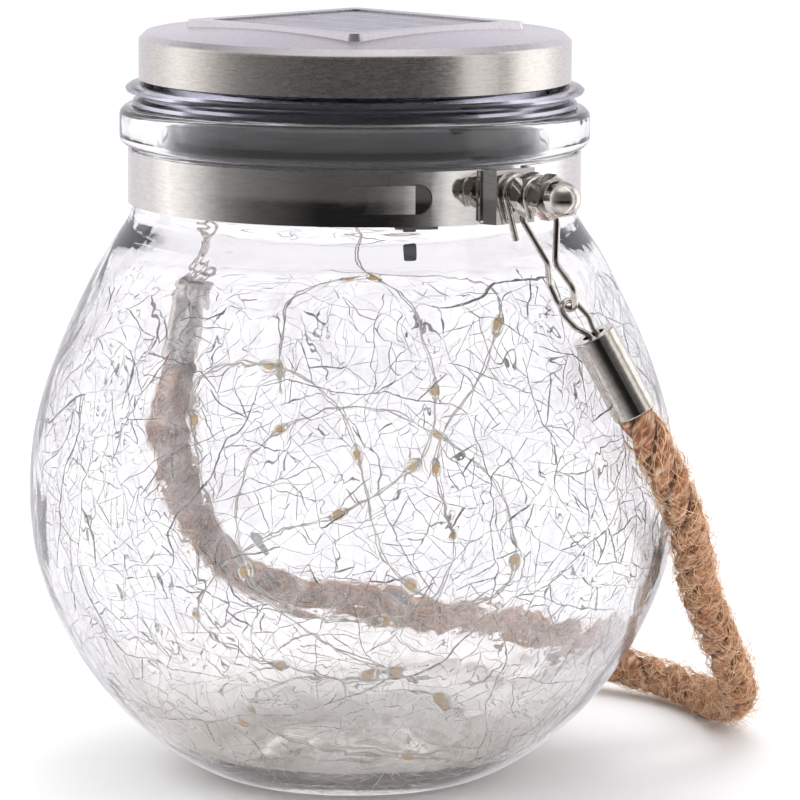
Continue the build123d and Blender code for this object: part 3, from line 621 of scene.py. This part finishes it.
# ------------------------------------------------------------------ materials
def glass_material():
    m, nt, b = new_material("clear_glass")
    b.inputs["IOR"].default_value = 1.48
    v = coords(nt)
    sep = add(nt, "ShaderNodeSeparateXYZ", {"Vector": v})
    # blown glass has soft ripples; where it is crazed it is also a little milky, in patches
    wave = fbm(nt, v, 0.07, 2.0, 0.5, 0.6)
    film = fbm(nt, v, 0.16, 4.0, 0.62, 0.8)
    zone = to_range(nt, sep.outputs["Z"], 1.0, 0.0, 92.0, 110.0)
    milk = math_node(nt, "MULTIPLY", zone, to_range(nt, film, 0.03, 0.16, 0.38, 0.66))
    link(nt, math_node(nt, "SUBTRACT", 1.0, milk), b.inputs["Transmission Weight"])
    tint = ramp(nt, film, [(0.3, (0.972, 0.966, 0.980)), (0.7, (0.948, 0.940, 0.964))])
    low = add(nt, "ShaderNodeMix", {"Factor": to_range(nt, sep.outputs["Z"], 1.0, 0.0, 4.0, 26.0)}, data_type="RGBA")
    link(nt, tint, low.inputs[6])
    low.inputs[7].default_value = (0.982, 0.946, 0.895, 1)
    link(nt, low.outputs[2], b.inputs["Base Color"])
    link(nt, to_range(nt, film, 0.0, 0.03, 0.5, 0.8), b.inputs["Roughness"])
    bump(nt, b, wave, 0.15, 0.0014)
    return m


def crack_material():
    m, nt, b = new_material("crack_painted_glints")
    v = coords(nt)
    n = fbm(nt, v, 0.55, 2.0, 0.6)
    n2 = fbm(nt, v, 2.6, 2.0, 0.6)
    mixed = math_node(nt, "ADD", math_node(nt, "MULTIPLY", n, 0.6), math_node(nt, "MULTIPLY", n2, 0.4))
    sep = add(nt, "ShaderNodeSeparateXYZ", {"Vector": v})
    # painted light: low on the globe the crack colour is made lighter, standing in for the light of the table that more
    # of them catch
    low = to_range(nt, sep.outputs["Z"], 0.13, 0.0, 20.0, 60.0)
    mixed = math_node(nt, "ADD", mixed, low)
    # painted glints and painted shade: the crack colour runs at random from near-black to white, standing in for the
    # dark lines and bright glints of the air gaps
    col = ramp(nt, mixed, [(0.34, (0.06, 0.055, 0.052)), (0.46, (0.17, 0.158, 0.15)), (0.55, (0.45, 0.43, 0.415)), (0.64, (0.98, 0.97, 0.96))])
    link(nt, col, b.inputs["Base Color"])
    b.inputs["Metallic"].default_value = 0.2
    link(nt, to_range(nt, n2, 0.12, 0.45, 0.3, 0.7), b.inputs["Roughness"])
    link(nt, ramp(nt, n2, [(0.36, (0.35,) * 3), (0.46, (0.95,) * 3)]), b.inputs["Alpha"])
    return m


def brushed_material():
    """Round-brushed stainless sheet: lines run round the lid, on its skirt and on its top."""
    m, nt, b = new_material("brushed_steel")
    c = add(nt, "ShaderNodeTexCoord").outputs["Object"]
    sep = add(nt, "ShaderNodeSeparateXYZ", {"Vector": c})
    ang = math_node(nt, "ARCTAN2", sep.outputs["Y"], sep.outputs["X"])
    r = math_node(nt, "POWER", math_node(nt, "ADD", math_node(nt, "MULTIPLY", sep.outputs["X"], sep.outputs["X"]),
                                        math_node(nt, "MULTIPLY", sep.outputs["Y"], sep.outputs["Y"])), 0.5)
    across = math_node(nt, "ADD", math_node(nt, "MULTIPLY", sep.outputs["Z"], 5200.0), math_node(nt, "MULTIPLY", r, 3800.0))
    vec = add(nt, "ShaderNodeCombineXYZ", {"X": math_node(nt, "MULTIPLY", ang, 9.0), "Y": across, "Z": 0.0}).outputs["Vector"]
    lines = fbm(nt, vec, 1.0, 4.0, 0.62, 0.25)
    vec2 = add(nt, "ShaderNodeCombineXYZ", {"X": math_node(nt, "MULTIPLY", ang, 30.0), "Y": math_node(nt, "MULTIPLY", across, 0.45), "Z": 3.0}).outputs["Vector"]
    short = fbm(nt, vec2, 1.0, 3.0, 0.6)
    both = math_node(nt, "ADD", math_node(nt, "MULTIPLY", lines, 0.6), math_node(nt, "MULTIPLY", short, 0.4))
    spots = fbm(nt, coords(nt), 0.9, 3.0, 0.7)
    col = ramp(nt, both, [(0.30, (0.50, 0.465, 0.44)), (0.50, (0.66, 0.625, 0.60)), (0.70, (0.79, 0.765, 0.745))])
    # painted reflection: the top gets a cooler, lavender colour, the cool back of the room painted into it
    painted_reflection_top = to_range(nt, sep.outputs["Z"], 0.0, 1.0, 0.1512, 0.1524)
    painted_cool_reflection = add(nt, "ShaderNodeMix", {"Factor": painted_reflection_top}, data_type="RGBA")
    link(nt, col, painted_cool_reflection.inputs[6])
    link(nt, ramp(nt, spots, [(0.35, (0.62, 0.585, 0.64)), (0.65, (0.70, 0.665, 0.72))]), painted_cool_reflection.inputs[7])
    col = painted_cool_reflection.outputs[2]
    link(nt, col, b.inputs["Base Color"])
    b.inputs["Metallic"].default_value = 1.0
    rough = math_node(nt, "ADD", to_range(nt, both, 0.17, 0.34, 0.3, 0.7), to_range(nt, spots, 0.0, 0.05, 0.4, 0.7))
    link(nt, rough, b.inputs["Roughness"])
    b.inputs["Anisotropic"].default_value = 0.72
    b.inputs["Anisotropic Rotation"].default_value = 0.25
    tan = add(nt, "ShaderNodeTangent", direction_type="RADIAL", axis="Z")
    link(nt, tan.outputs["Tangent"], b.inputs["Tangent"])
    bump(nt, b, both, 0.02, 0.00003)
    return m


def band_material():
    m, nt, b = new_material("polished_band")
    v = coords(nt)
    smear = fbm(nt, coords(nt, (1000, 1000, 4500)), 0.35, 4.0, 0.6, 0.4)
    col = ramp(nt, smear, [(0.35, (0.66, 0.635, 0.62)), (0.65, (0.76, 0.74, 0.73))])
    link(nt, col, b.inputs["Base Color"])
    b.inputs["Metallic"].default_value = 1.0
    link(nt, to_range(nt, smear, 0.03, 0.10, 0.35, 0.65), b.inputs["Roughness"])
    # rolled strip: its face is slightly crowned, with shallow dents
    sep = add(nt, "ShaderNodeSeparateXYZ", {"Vector": v})
    up = math_node(nt, "SUBTRACT", sep.outputs["Z"], 123.2)
    crown = math_node(nt, "MULTIPLY", math_node(nt, "MULTIPLY", up, up), -0.0075)
    dents = fbm(nt, coords(nt, (1000, 1000, 400)), 0.07, 2.0, 0.5)
    scratch = fbm(nt, coords(nt, (1000, 1000, 9000)), 0.8, 3.0, 0.6)
    # the strap's outer end and its tongue spring off the ring a little, so they face further round
    ang = math_node(nt, "ARCTAN2", sep.outputs["Y"], sep.outputs["X"])
    rad = math_node(nt, "POWER", math_node(nt, "ADD", math_node(nt, "MULTIPLY", sep.outputs["X"], sep.outputs["X"]),
                                          math_node(nt, "MULTIPLY", sep.outputs["Y"], sep.outputs["Y"])), 0.5)
    # the strip's inner face keeps its dull mill finish
    inner_face = to_range(nt, rad, 1.0, 0.0, 45.3, 45.7)
    dull = add(nt, "ShaderNodeMix", {"Factor": inner_face}, data_type="RGBA")
    link(nt, col, dull.inputs[6])
    dull.inputs[7].default_value = (0.80, 0.80, 0.82, 1)
    link(nt, dull.outputs[2], b.inputs["Base Color"])
    link(nt, math_node(nt, "SUBTRACT", 1.0, math_node(nt, "MULTIPLY", inner_face, 0.85)), b.inputs["Metallic"])
    rough = to_range(nt, smear, 0.03, 0.10, 0.35, 0.65)
    link(nt, math_node(nt, "ADD", rough, math_node(nt, "MULTIPLY", inner_face, 0.5)), b.inputs["Roughness"])
    near = math_node(nt, "LESS_THAN", ang, -0.1)
    strap = math_node(nt, "MULTIPLY", near, math_node(nt, "GREATER_THAN", rad, 46.55))
    tongue = math_node(nt, "MULTIPLY", near, math_node(nt, "GREATER_THAN", rad, 46.9))
    slope = math_node(nt, "ADD", math_node(nt, "MULTIPLY", strap, 0.14), math_node(nt, "MULTIPLY", tongue, 0.14))
    bent = math_node(nt, "MULTIPLY", math_node(nt, "MULTIPLY", ang, -46.0), slope)
    h = math_node(nt, "ADD", crown, math_node(nt, "ADD", math_node(nt, "MULTIPLY", dents, 0.12), math_node(nt, "MULTIPLY", scratch, 0.0006)))
    h = math_node(nt, "ADD", h, bent)
    bump(nt, b, h, 1.0, 0.001)
    return m


def nickel_material():
    m, nt, b = new_material("nickel")
    v = coords(nt)
    n = fbm(nt, v, 0.8, 4.0, 0.6)
    col = ramp(nt, n, [(0.35, (0.60, 0.555, 0.515)), (0.6, (0.76, 0.72, 0.68))])
    link(nt, col, b.inputs["Base Color"])
    b.inputs["Metallic"].default_value = 1.0
    link(nt, to_range(nt, n, 0.03, 0.09, 0.35, 0.7), b.inputs["Roughness"])
    bump(nt, b, fbm(nt, v, 0.25, 2.0), 0.10, 0.0002)
    return m


def solar_material():
    """Dark cell with its fingers and bus bars, under a clear, slightly dusty cover."""
    m, nt, b = new_material("solar_glass")
    v = coords(nt, rot=-math.radians(5.0))
    sep = add(nt, "ShaderNodeSeparateXYZ", {"Vector": v})

    def comb(axis, step, width, shift=0.0):
        f = math_node(nt, "FRACT", math_node(nt, "ADD", math_node(nt, "DIVIDE", sep.outputs[axis], step), 0.5 + shift))
        d = math_node(nt, "ABSOLUTE", math_node(nt, "SUBTRACT", f, 0.5))
        return math_node(nt, "LESS_THAN", d, width / step / 2)
    fingers = comb("X", 1.9, 0.10)
    bars = comb("Y", 9.8, 0.32, 0.5)
    gaps = comb("X", 9.8, 0.45, 0.5)
    inside_ = math_node(nt, "MULTIPLY",
                        math_node(nt, "LESS_THAN", math_node(nt, "ABSOLUTE", sep.outputs["X"]), 18.9),
                        math_node(nt, "LESS_THAN", math_node(nt, "ABSOLUTE", sep.outputs["Y"]), 18.9))
    n = fbm(nt, v, 0.25, 4.0, 0.65, 0.5)
    cell = ramp(nt, n, [(0.35, (0.030, 0.028, 0.062)), (0.65, (0.058, 0.052, 0.105))])
    a = add(nt, "ShaderNodeMix", {"Factor": math_node(nt, "MULTIPLY", fingers, 0.45), "A": cell, "B": (0.30, 0.29, 0.36, 1)}, data_type="RGBA")
    for i, sck in ((6, cell), (7, None)):
        if sck is not None:
            link(nt, sck, a.inputs[i])
        else:
            a.inputs[i].default_value = (0.30, 0.29, 0.36, 1)
    c2 = add(nt, "ShaderNodeMix", {"Factor": math_node(nt, "MULTIPLY", bars, 0.8)}, data_type="RGBA")
    link(nt, a.outputs[2], c2.inputs[6])
    c2.inputs[7].default_value = (0.50, 0.49, 0.54, 1)
    c3 = add(nt, "ShaderNodeMix", {"Factor": gaps}, data_type="RGBA")
    link(nt, c2.outputs[2], c3.inputs[6])
    c3.inputs[7].default_value = (0.020, 0.018, 0.03, 1)
    c4 = add(nt, "ShaderNodeMix", {"Factor": inside_}, data_type="RGBA")
    c4.inputs[6].default_value = (0.045, 0.042, 0.062, 1)
    link(nt, c3.outputs[2], c4.inputs[7])
    link(nt, c4.outputs[2], b.inputs["Base Color"])
    b.inputs["IOR"].default_value = 1.36
    link(nt, to_range(nt, n, 0.12, 0.22, 0.3, 0.7), b.inputs["Roughness"])
    bump(nt, b, fbm(nt, v, 0.12, 2.0), 0.08, 0.0006)
    return m


def silicone_material():
    m, nt, b = new_material("silicone")
    v = coords(nt)
    n = fbm(nt, v, 0.5, 4.0, 0.6)
    col = ramp(nt, n, [(0.3, (0.76, 0.755, 0.92)), (0.7, (0.84, 0.835, 0.97))])
    # painted shade: the plug inside the thin flange is made far darker, standing in for the black housing seen through
    # it and the shade under the lid
    sep = add(nt, "ShaderNodeSeparateXYZ", {"Vector": v})
    rad = math_node(nt, "POWER", math_node(nt, "ADD", math_node(nt, "MULTIPLY", sep.outputs["X"], sep.outputs["X"]),
                                          math_node(nt, "MULTIPLY", sep.outputs["Y"], sep.outputs["Y"])), 0.5)
    thin = to_range(nt, rad, 0.0, 1.0, 40.5, 45.0)
    mixed = add(nt, "ShaderNodeMix", {"Factor": thin}, data_type="RGBA")
    mixed.inputs[6].default_value = (0.10, 0.10, 0.13, 1)
    link(nt, col, mixed.inputs[7])
    col = mixed.outputs[2]
    link(nt, col, b.inputs["Base Color"])
    b.inputs["Transmission Weight"].default_value = 1.0
    b.inputs["IOR"].default_value = 1.38
    link(nt, to_range(nt, n, 0.08, 0.16, 0.3, 0.7), b.inputs["Roughness"])
    bump(nt, b, fbm(nt, v, 0.06, 2.0), 0.06, 0.0006)
    return m


def plastic_material(name="black_plastic", a=(0.010, 0.010, 0.012), c=(0.020, 0.019, 0.022), grain=6.0):
    m, nt, b = new_material(name)
    v = coords(nt)
    n = fbm(nt, v, 0.3, 3.0)
    link(nt, ramp(nt, n, [(0.3, a), (0.7, c)]), b.inputs["Base Color"])
    link(nt, to_range(nt, n, 0.32, 0.50, 0.3, 0.7), b.inputs["Roughness"])
    vor = add(nt, "ShaderNodeTexVoronoi", {"Vector": v, "Scale": grain}).outputs["Distance"]
    bump(nt, b, vor, 0.25, 0.00006)
    return m


def battery_material():
    """Green shrink sleeve with a white band, bare steel ends."""
    m, nt, b = new_material("battery_sleeve")
    v = coords(nt, rot=-math.radians(50.0))
    sep = add(nt, "ShaderNodeSeparateXYZ", {"Vector": v})
    n = fbm(nt, v, 0.8, 3.0)
    t = to_range(nt, sep.outputs["X"], 0.0, 1.0, -26.0, 26.0)
    col = ramp(nt, t, [(0.0, (0.60, 0.58, 0.55)), (0.042, (0.03, 0.24, 0.10)), (0.60, (0.75, 0.76, 0.74)), (0.68, (0.03, 0.24, 0.10)),
                       (0.955, (0.60, 0.58, 0.55))], "CONSTANT")
    mixed = add(nt, "ShaderNodeMix", {"Factor": to_range(nt, n, 0.0, 0.25, 0.3, 0.8)}, data_type="RGBA")
    link(nt, col, mixed.inputs[6])
    mixed.inputs[7].default_value = (0.02, 0.12, 0.06, 1)
    link(nt, mixed.outputs[2], b.inputs["Base Color"])
    link(nt, ramp(nt, t, [(0.0, (1,) * 3), (0.042, (0,) * 3), (0.955, (1,) * 3)], "CONSTANT"), b.inputs["Metallic"])
    link(nt, to_range(nt, n, 0.25, 0.4), b.inputs["Roughness"])
    bump(nt, b, fbm(nt, v, 1.4, 2.0), 0.15, 0.0001)
    return m


def board_material():
    m, nt, b = new_material("green_board")
    v = coords(nt, rot=-math.radians(50.0))
    sep = add(nt, "ShaderNodeSeparateXYZ", {"Vector": v})
    brick = add(nt, "ShaderNodeTexBrick", {"Vector": v, "Scale": 0.42, "Mortar Size": 0.05, "Color1": (0.012, 0.12, 0.045, 1),
                                          "Color2": (0.016, 0.15, 0.055, 1), "Mortar": (0.035, 0.26, 0.09, 1)})
    n = fbm(nt, v, 1.2, 3.0)
    high = math_node(nt, "GREATER_THAN", sep.outputs["Z"], 123.25)
    mixed = add(nt, "ShaderNodeMix", {"Factor": high}, data_type="RGBA")
    link(nt, brick.outputs["Color"], mixed.inputs[6])
    link(nt, ramp(nt, n, [(0.3, (0.012, 0.012, 0.013)), (0.7, (0.03, 0.03, 0.03))]), mixed.inputs[7])
    link(nt, mixed.outputs[2], b.inputs["Base Color"])
    link(nt, to_range(nt, n, 0.25, 0.45), b.inputs["Roughness"])
    bump(nt, b, brick.outputs["Fac"], 0.3, 0.00005)
    return m


def lead_material():
    m, nt, b = new_material("lead_sleeve")
    c = add(nt, "ShaderNodeTexCoord").outputs["Object"]
    sep = add(nt, "ShaderNodeSeparateXYZ", {"Vector": c})
    n = fbm(nt, coords(nt), 1.2, 3.0)
    mixed = add(nt, "ShaderNodeMix", {"Factor": math_node(nt, "GREATER_THAN", sep.outputs["X"], 0.0)}, data_type="RGBA")
    link(nt, ramp(nt, n, [(0.3, (0.012, 0.012, 0.012)), (0.7, (0.03, 0.03, 0.03))]), mixed.inputs[6])
    link(nt, ramp(nt, n, [(0.3, (0.42, 0.02, 0.015)), (0.7, (0.55, 0.04, 0.03))]), mixed.inputs[7])
    link(nt, mixed.outputs[2], b.inputs["Base Color"])
    link(nt, to_range(nt, n, 0.3, 0.5), b.inputs["Roughness"])
    bump(nt, b, n, 0.1, 0.0001)
    return m


def wire_material():
    """Enamelled silver-coloured copper."""
    m, nt, b = new_material("string_wire")
    v = coords(nt)
    n = fbm(nt, v, 0.35, 3.0, 0.6)
    link(nt, ramp(nt, n, [(0.35, (0.46, 0.43, 0.35)), (0.65, (0.66, 0.63, 0.55))]), b.inputs["Base Color"])
    b.inputs["Metallic"].default_value = 0.8
    link(nt, to_range(nt, n, 0.22, 0.42), b.inputs["Roughness"])
    bump(nt, b, fbm(nt, v, 2.5, 2.0), 0.2, 0.00005)
    return m


def drop_material():
    m, nt, b = new_material("drop_resin")
    v = coords(nt)
    n = fbm(nt, v, 0.5, 3.0)
    link(nt, ramp(nt, n, [(0.3, (1.0, 0.95, 0.86)), (0.7, (1.0, 0.985, 0.95))]), b.inputs["Base Color"])
    b.inputs["Transmission Weight"].default_value = 0.96
    b.inputs["IOR"].default_value = 1.42
    link(nt, to_range(nt, n, 0.02, 0.10), b.inputs["Roughness"])
    bump(nt, b, fbm(nt, v, 0.6, 2.0), 0.12, 0.0002)
    return m


def chip_material():
    m, nt, b = new_material("chip_phosphor")
    v = coords(nt)
    n = fbm(nt, v, 1.6, 3.0)
    link(nt, ramp(nt, n, [(0.3, (1.0, 0.50, 0.03)), (0.7, (1.0, 0.68, 0.10))]), b.inputs["Base Color"])
    link(nt, to_range(nt, n, 0.35, 0.55), b.inputs["Roughness"])
    b.inputs["Subsurface Weight"].default_value = 0.0
    bump(nt, b, n, 0.2, 0.0001)
    return m


def jute_material():
    m, nt, b = new_material("jute")
    uv = add(nt, "ShaderNodeUVMap", uv_map="UVMap").outputs["UV"]
    # hairs lie along the yarns, which cross the strand at a slant
    mp = add(nt, "ShaderNodeMapping", {"Vector": uv, "Rotation": (0, 0, math.radians(24)), "Scale": (44, 4.2, 1)}).outputs["Vector"]
    hair = fbm(nt, mp, 1.0, 5.0, 0.62, 0.9)
    mp2 = add(nt, "ShaderNodeMapping", {"Vector": uv, "Rotation": (0, 0, math.radians(11)), "Scale": (110, 7.0, 1)}).outputs["Vector"]
    hair2 = fbm(nt, mp2, 1.0, 4.0, 0.7, 1.4)
    patch = fbm(nt, coords(nt), 0.22, 3.0, 0.6)
    at = add(nt, "ShaderNodeAttribute", attribute_name="shade")
    sep = add(nt, "ShaderNodeSeparateColor", {"Color": at.outputs["Color"]})
    tone = math_node(nt, "ADD", math_node(nt, "MULTIPLY", hair, 0.5),
                     math_node(nt, "ADD", math_node(nt, "MULTIPLY", hair2, 0.28), math_node(nt, "MULTIPLY", sep.outputs["Green"], 0.22)))
    body = ramp(nt, tone, [(0.30, lin(92, 50, 28)), (0.41, lin(160, 98, 62)), (0.50, lin(208, 146, 104)), (0.58, lin(238, 194, 156)),
                           (0.68, lin(254, 236, 212))])
    # painted shade: the red channel of the shade colours darkens the jute in the grooves between strands
    deep = ramp(nt, sep.outputs["Red"], [(0.0, (0.10, 0.06, 0.045)), (0.35, (0.40, 0.31, 0.26)), (0.7, (1, 1, 1))])
    mul = add(nt, "ShaderNodeMix", {"Factor": 1.0}, data_type="RGBA", blend_type="MULTIPLY")
    link(nt, body, mul.inputs[6])
    link(nt, deep, mul.inputs[7])
    mul2 = add(nt, "ShaderNodeMix", {"Factor": 1.0}, data_type="RGBA", blend_type="MULTIPLY")
    link(nt, mul.outputs[2], mul2.inputs[6])
    link(nt, ramp(nt, patch, [(0.35, (0.64, 0.58, 0.53)), (0.65, (1.0, 1.0, 1.0))]), mul2.inputs[7])
    link(nt, mul2.outputs[2], b.inputs["Base Color"])
    b.inputs["Roughness"].default_value = 0.88
    b.inputs["Specular IOR Level"].default_value = 0.25
    b.inputs["Sheen Weight"].default_value = 0.25
    b.inputs["Sheen Roughness"].default_value = 0.5
    bump(nt, b, math_node(nt, "ADD", hair, math_node(nt, "MULTIPLY", hair2, 0.7)), 0.85, 0.0005)
    return m


def hair_material():
    m, nt, b = new_material("jute_hair")
    at = add(nt, "ShaderNodeAttribute", attribute_name="shade")
    sep = add(nt, "ShaderNodeSeparateColor", {"Color": at.outputs["Color"]})
    n = fbm(nt, coords(nt), 1.5, 2.0)
    t = math_node(nt, "ADD", math_node(nt, "MULTIPLY", sep.outputs["Red"], 0.75), math_node(nt, "MULTIPLY", n, 0.25))
    link(nt, ramp(nt, t, [(0.1, lin(176, 112, 68)), (0.4, lin(226, 172, 124)), (0.8, lin(253, 228, 192))]), b.inputs["Base Color"])
    b.inputs["Roughness"].default_value = 0.7
    b.inputs["Specular IOR Level"].default_value = 0.35
    return m


glass_m, crack_m, brushed_m, band_m, nickel_m = glass_material(), crack_material(), brushed_material(), band_material(), nickel_material()
solar_m, silicone_m, plastic_m = solar_material(), silicone_material(), plastic_material()
pale_m = plastic_material("pale_plastic", (0.86, 0.86, 0.88), (0.93, 0.93, 0.94))
battery_m, board_m, lead_m, wire_m = battery_material(), board_material(), lead_material(), wire_material()
drop_m, chip_m, jute_m, hair_m = drop_material(), chip_material(), jute_material(), hair_material()

by_slot = {"crackle_glass": glass_m, "polished_band": band_m, "nickel": nickel_m, "brushed_steel": brushed_m, "solar_glass": solar_m,
           "silicone": silicone_m, "black_plastic": plastic_m, "pale_plastic": pale_m, "battery_sleeve": battery_m, "green_board": board_m,
           "lead_sleeve": lead_m, "string_wire": wire_m, "bead_resin": drop_m, "jute": jute_m}
slot_of = {p["node"]: p["material_slot"] for p in frame["record"]["subparts"]}
for name, ob in nodes.items():
    ob.data.materials.clear()
    ob.data.materials.append(by_slot[slot_of[name]])
for ob, m in ((jar, glass_m), (crack_a, crack_m), (strands, jute_m), (rope_hair, hair_m), (rope_nap, hair_m), (wires, wire_m), (drops, drop_m), (chips, chip_m)):
    ob.data.materials.append(m)

# ------------------------------------------------------------------ what each new piece is
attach(jar, "jar")
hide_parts("glass_jar")
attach(crack_a, "jar")

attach(strands, "handle")
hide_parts("rope_handle")
for ob in (rope_nap, rope_hair):
    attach(ob, "handle")

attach(wires, "lid")
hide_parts("led_string_wire")
for ob in (drops, chips):
    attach(ob, "lid")
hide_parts("led_beads")

# ------------------------------------------------------------------ floor, studio and light
floor = mesh_object("floor", np.array([(-14, -14, -0.0001), (14, -14, -0.0001), (14, 14, -0.0001), (-14, 14, -0.0001)]), [(0, 1, 2, 3)])
fm, nt, b = new_material("floor_paper")
n_ = fbm(nt, coords(nt), 0.02, 3.0)
link(nt, ramp(nt, n_, [(0.3, (0.90, 0.90, 0.905)), (0.7, (0.93, 0.93, 0.935))]), b.inputs["Base Color"])
b.inputs["Roughness"].default_value = 0.9
b.inputs["Specular IOR Level"].default_value = 0.1
floor.data.materials.append(fm)
floor.visible_glossy = False

# A sphere round the set that only reflections see, on the glass too: white screens at the sides and back, a dark room
# in front.
az_tab = [-180, -150, -123, -108, -92, -80, -69, -58, -48, -29, -18, 34, 44, 54, 61, 66, 75, 84, 90, 96, 103, 118, 134, 155, 180]
br_tab = [1.02, 0.98, 1.02, 1.40, 1.02, 0.60, 0.28, 0.16, 0.10, 0.045, 0.018, 0.018, 0.06, 0.20, 0.85, 1.00, 0.90, 0.55, 0.60, 1.35, 1.55, 1.60, 1.10, 1.02, 1.02]


def studio(az, el):
    """Brightness of the room towards a direction; az is measured from the camera's side, both in degrees."""
    s = float(np.interp(az, az_tab, br_tab))
    dark = float(np.interp(abs(az), [60, 100], [1, 0]))
    # light table below, overhead screen, dark band between them in front
    low = float(np.interp(el, [-50, -30, -20, -14, 90], [0.8, 0.25, 0.03, 0.0, 0.0]))
    up = float(np.interp(el, [-5.5, -4, 25, 45, 60, 90], [0.0, 0.085, 0.085, 0.22, 1.0, 1.2]))
    s_front = s + (low + up) * dark
    fall = float(np.interp(abs(el), [0, 28, 45, 58, 90], [1.0, 1.0, 0.45, 0.6, 1.0]))
    return s_front * dark + s * fall * (1 - dark)


sv, sf, sc_cols = [], [], []
nu, nv = 180, 90
for j in range(nv + 1):
    el = -90 + 180 * j / nv
    for i in range(nu):
        az = -180 + 360 * i / nu
        a = math.radians(az) + math.radians(-40.0)      # the camera stands at -40 degrees round from +X
        e = math.radians(el)
        sv.append((5 * math.cos(e) * math.cos(a), 5 * math.cos(e) * math.sin(a), 5 * math.sin(e)))
        g = studio(az, el)
        back = float(np.interp(abs(az), [120, 150], [0, 1]))
        g *= 1 - 0.12 * back
        sc_cols.append((g * (1.0 - 0.02 * back), g * (0.985 - 0.03 * back), g * (0.97 + 0.04 * back), 1))
for j in range(nv):
    for i in range(nu):
        sf.append((j * nu + i, (j + 1) * nu + i, (j + 1) * nu + (i + 1) % nu, j * nu + (i + 1) % nu))
room = mesh_object("studio_screens", np.array(sv), np.array(sf), colours=np.array(sc_cols))
rm = bpy.data.materials.new("screen_light")
rm.use_nodes = True
rn = rm.node_tree
rn.nodes.clear()
em = add(rn, "ShaderNodeEmission", {"Color": add(rn, "ShaderNodeAttribute", attribute_name="shade").outputs["Color"], "Strength": 1.0})
out_ = add(rn, "ShaderNodeOutputMaterial", {"Surface": em.outputs[0]})
rm.cycles.emission_sampling = "NONE"
room.data.materials.append(rm)
room.visible_camera = False
room.visible_diffuse = False
room.visible_shadow = False
room.visible_volume_scatter = False
room.visible_transmission = False

world = bpy.data.worlds.new("world")
scene.world = world
world.use_nodes = True
bg = world.node_tree.nodes["Background"]
bg.inputs["Color"].default_value = (1.0, 0.995, 1.0, 1)
bg.inputs["Strength"].default_value = 1.08
world.cycles_visibility.glossy = False            # reflections see the screens


def softbox(name, az, el, dist, size, power, colour=(1, 1, 1)):
    """Area light; az from the camera's side, in degrees."""
    d = bpy.data.lights.new(name, "AREA")
    d.shape = "RECTANGLE"
    d.size, d.size_y = size
    d.energy = power
    d.color = colour
    o = bpy.data.objects.new(name, d)
    a, e = math.radians(az - 40.0), math.radians(el)
    o.location = Vector((dist * math.cos(e) * math.cos(a), dist * math.cos(e) * math.sin(a), dist * math.sin(e) + 0.08))
    o.rotation_mode = "QUATERNION"
    o.rotation_quaternion = (Vector((0, 0, 0.08)) - o.location).to_track_quat("-Z", "Y")
    scene.collection.objects.link(o)
    o.visible_glossy = False
    o.visible_transmission = False
    o.visible_camera = False
    return o


softbox("key_left", -70, 42, 1.5, (0.8, 0.8), 9.0)
softbox("fill_right", 75, 30, 1.6, (0.7, 0.9), 6.0)
softbox("top", 150, 75, 1.5, (0.9, 0.9), 5.0)

scene.view_settings.view_transform = "Standard"
scene.view_settings.look = "None"
scene.cycles.max_bounces = 20
scene.cycles.transmission_bounces = 20
scene.cycles.glossy_bounces = 6
scene.cycles.diffuse_bounces = 4
scene.cycles.transparent_max_bounces = 16
scene.cycles.sample_clamp_indirect = 6.0
scene.cycles.use_denoising = True
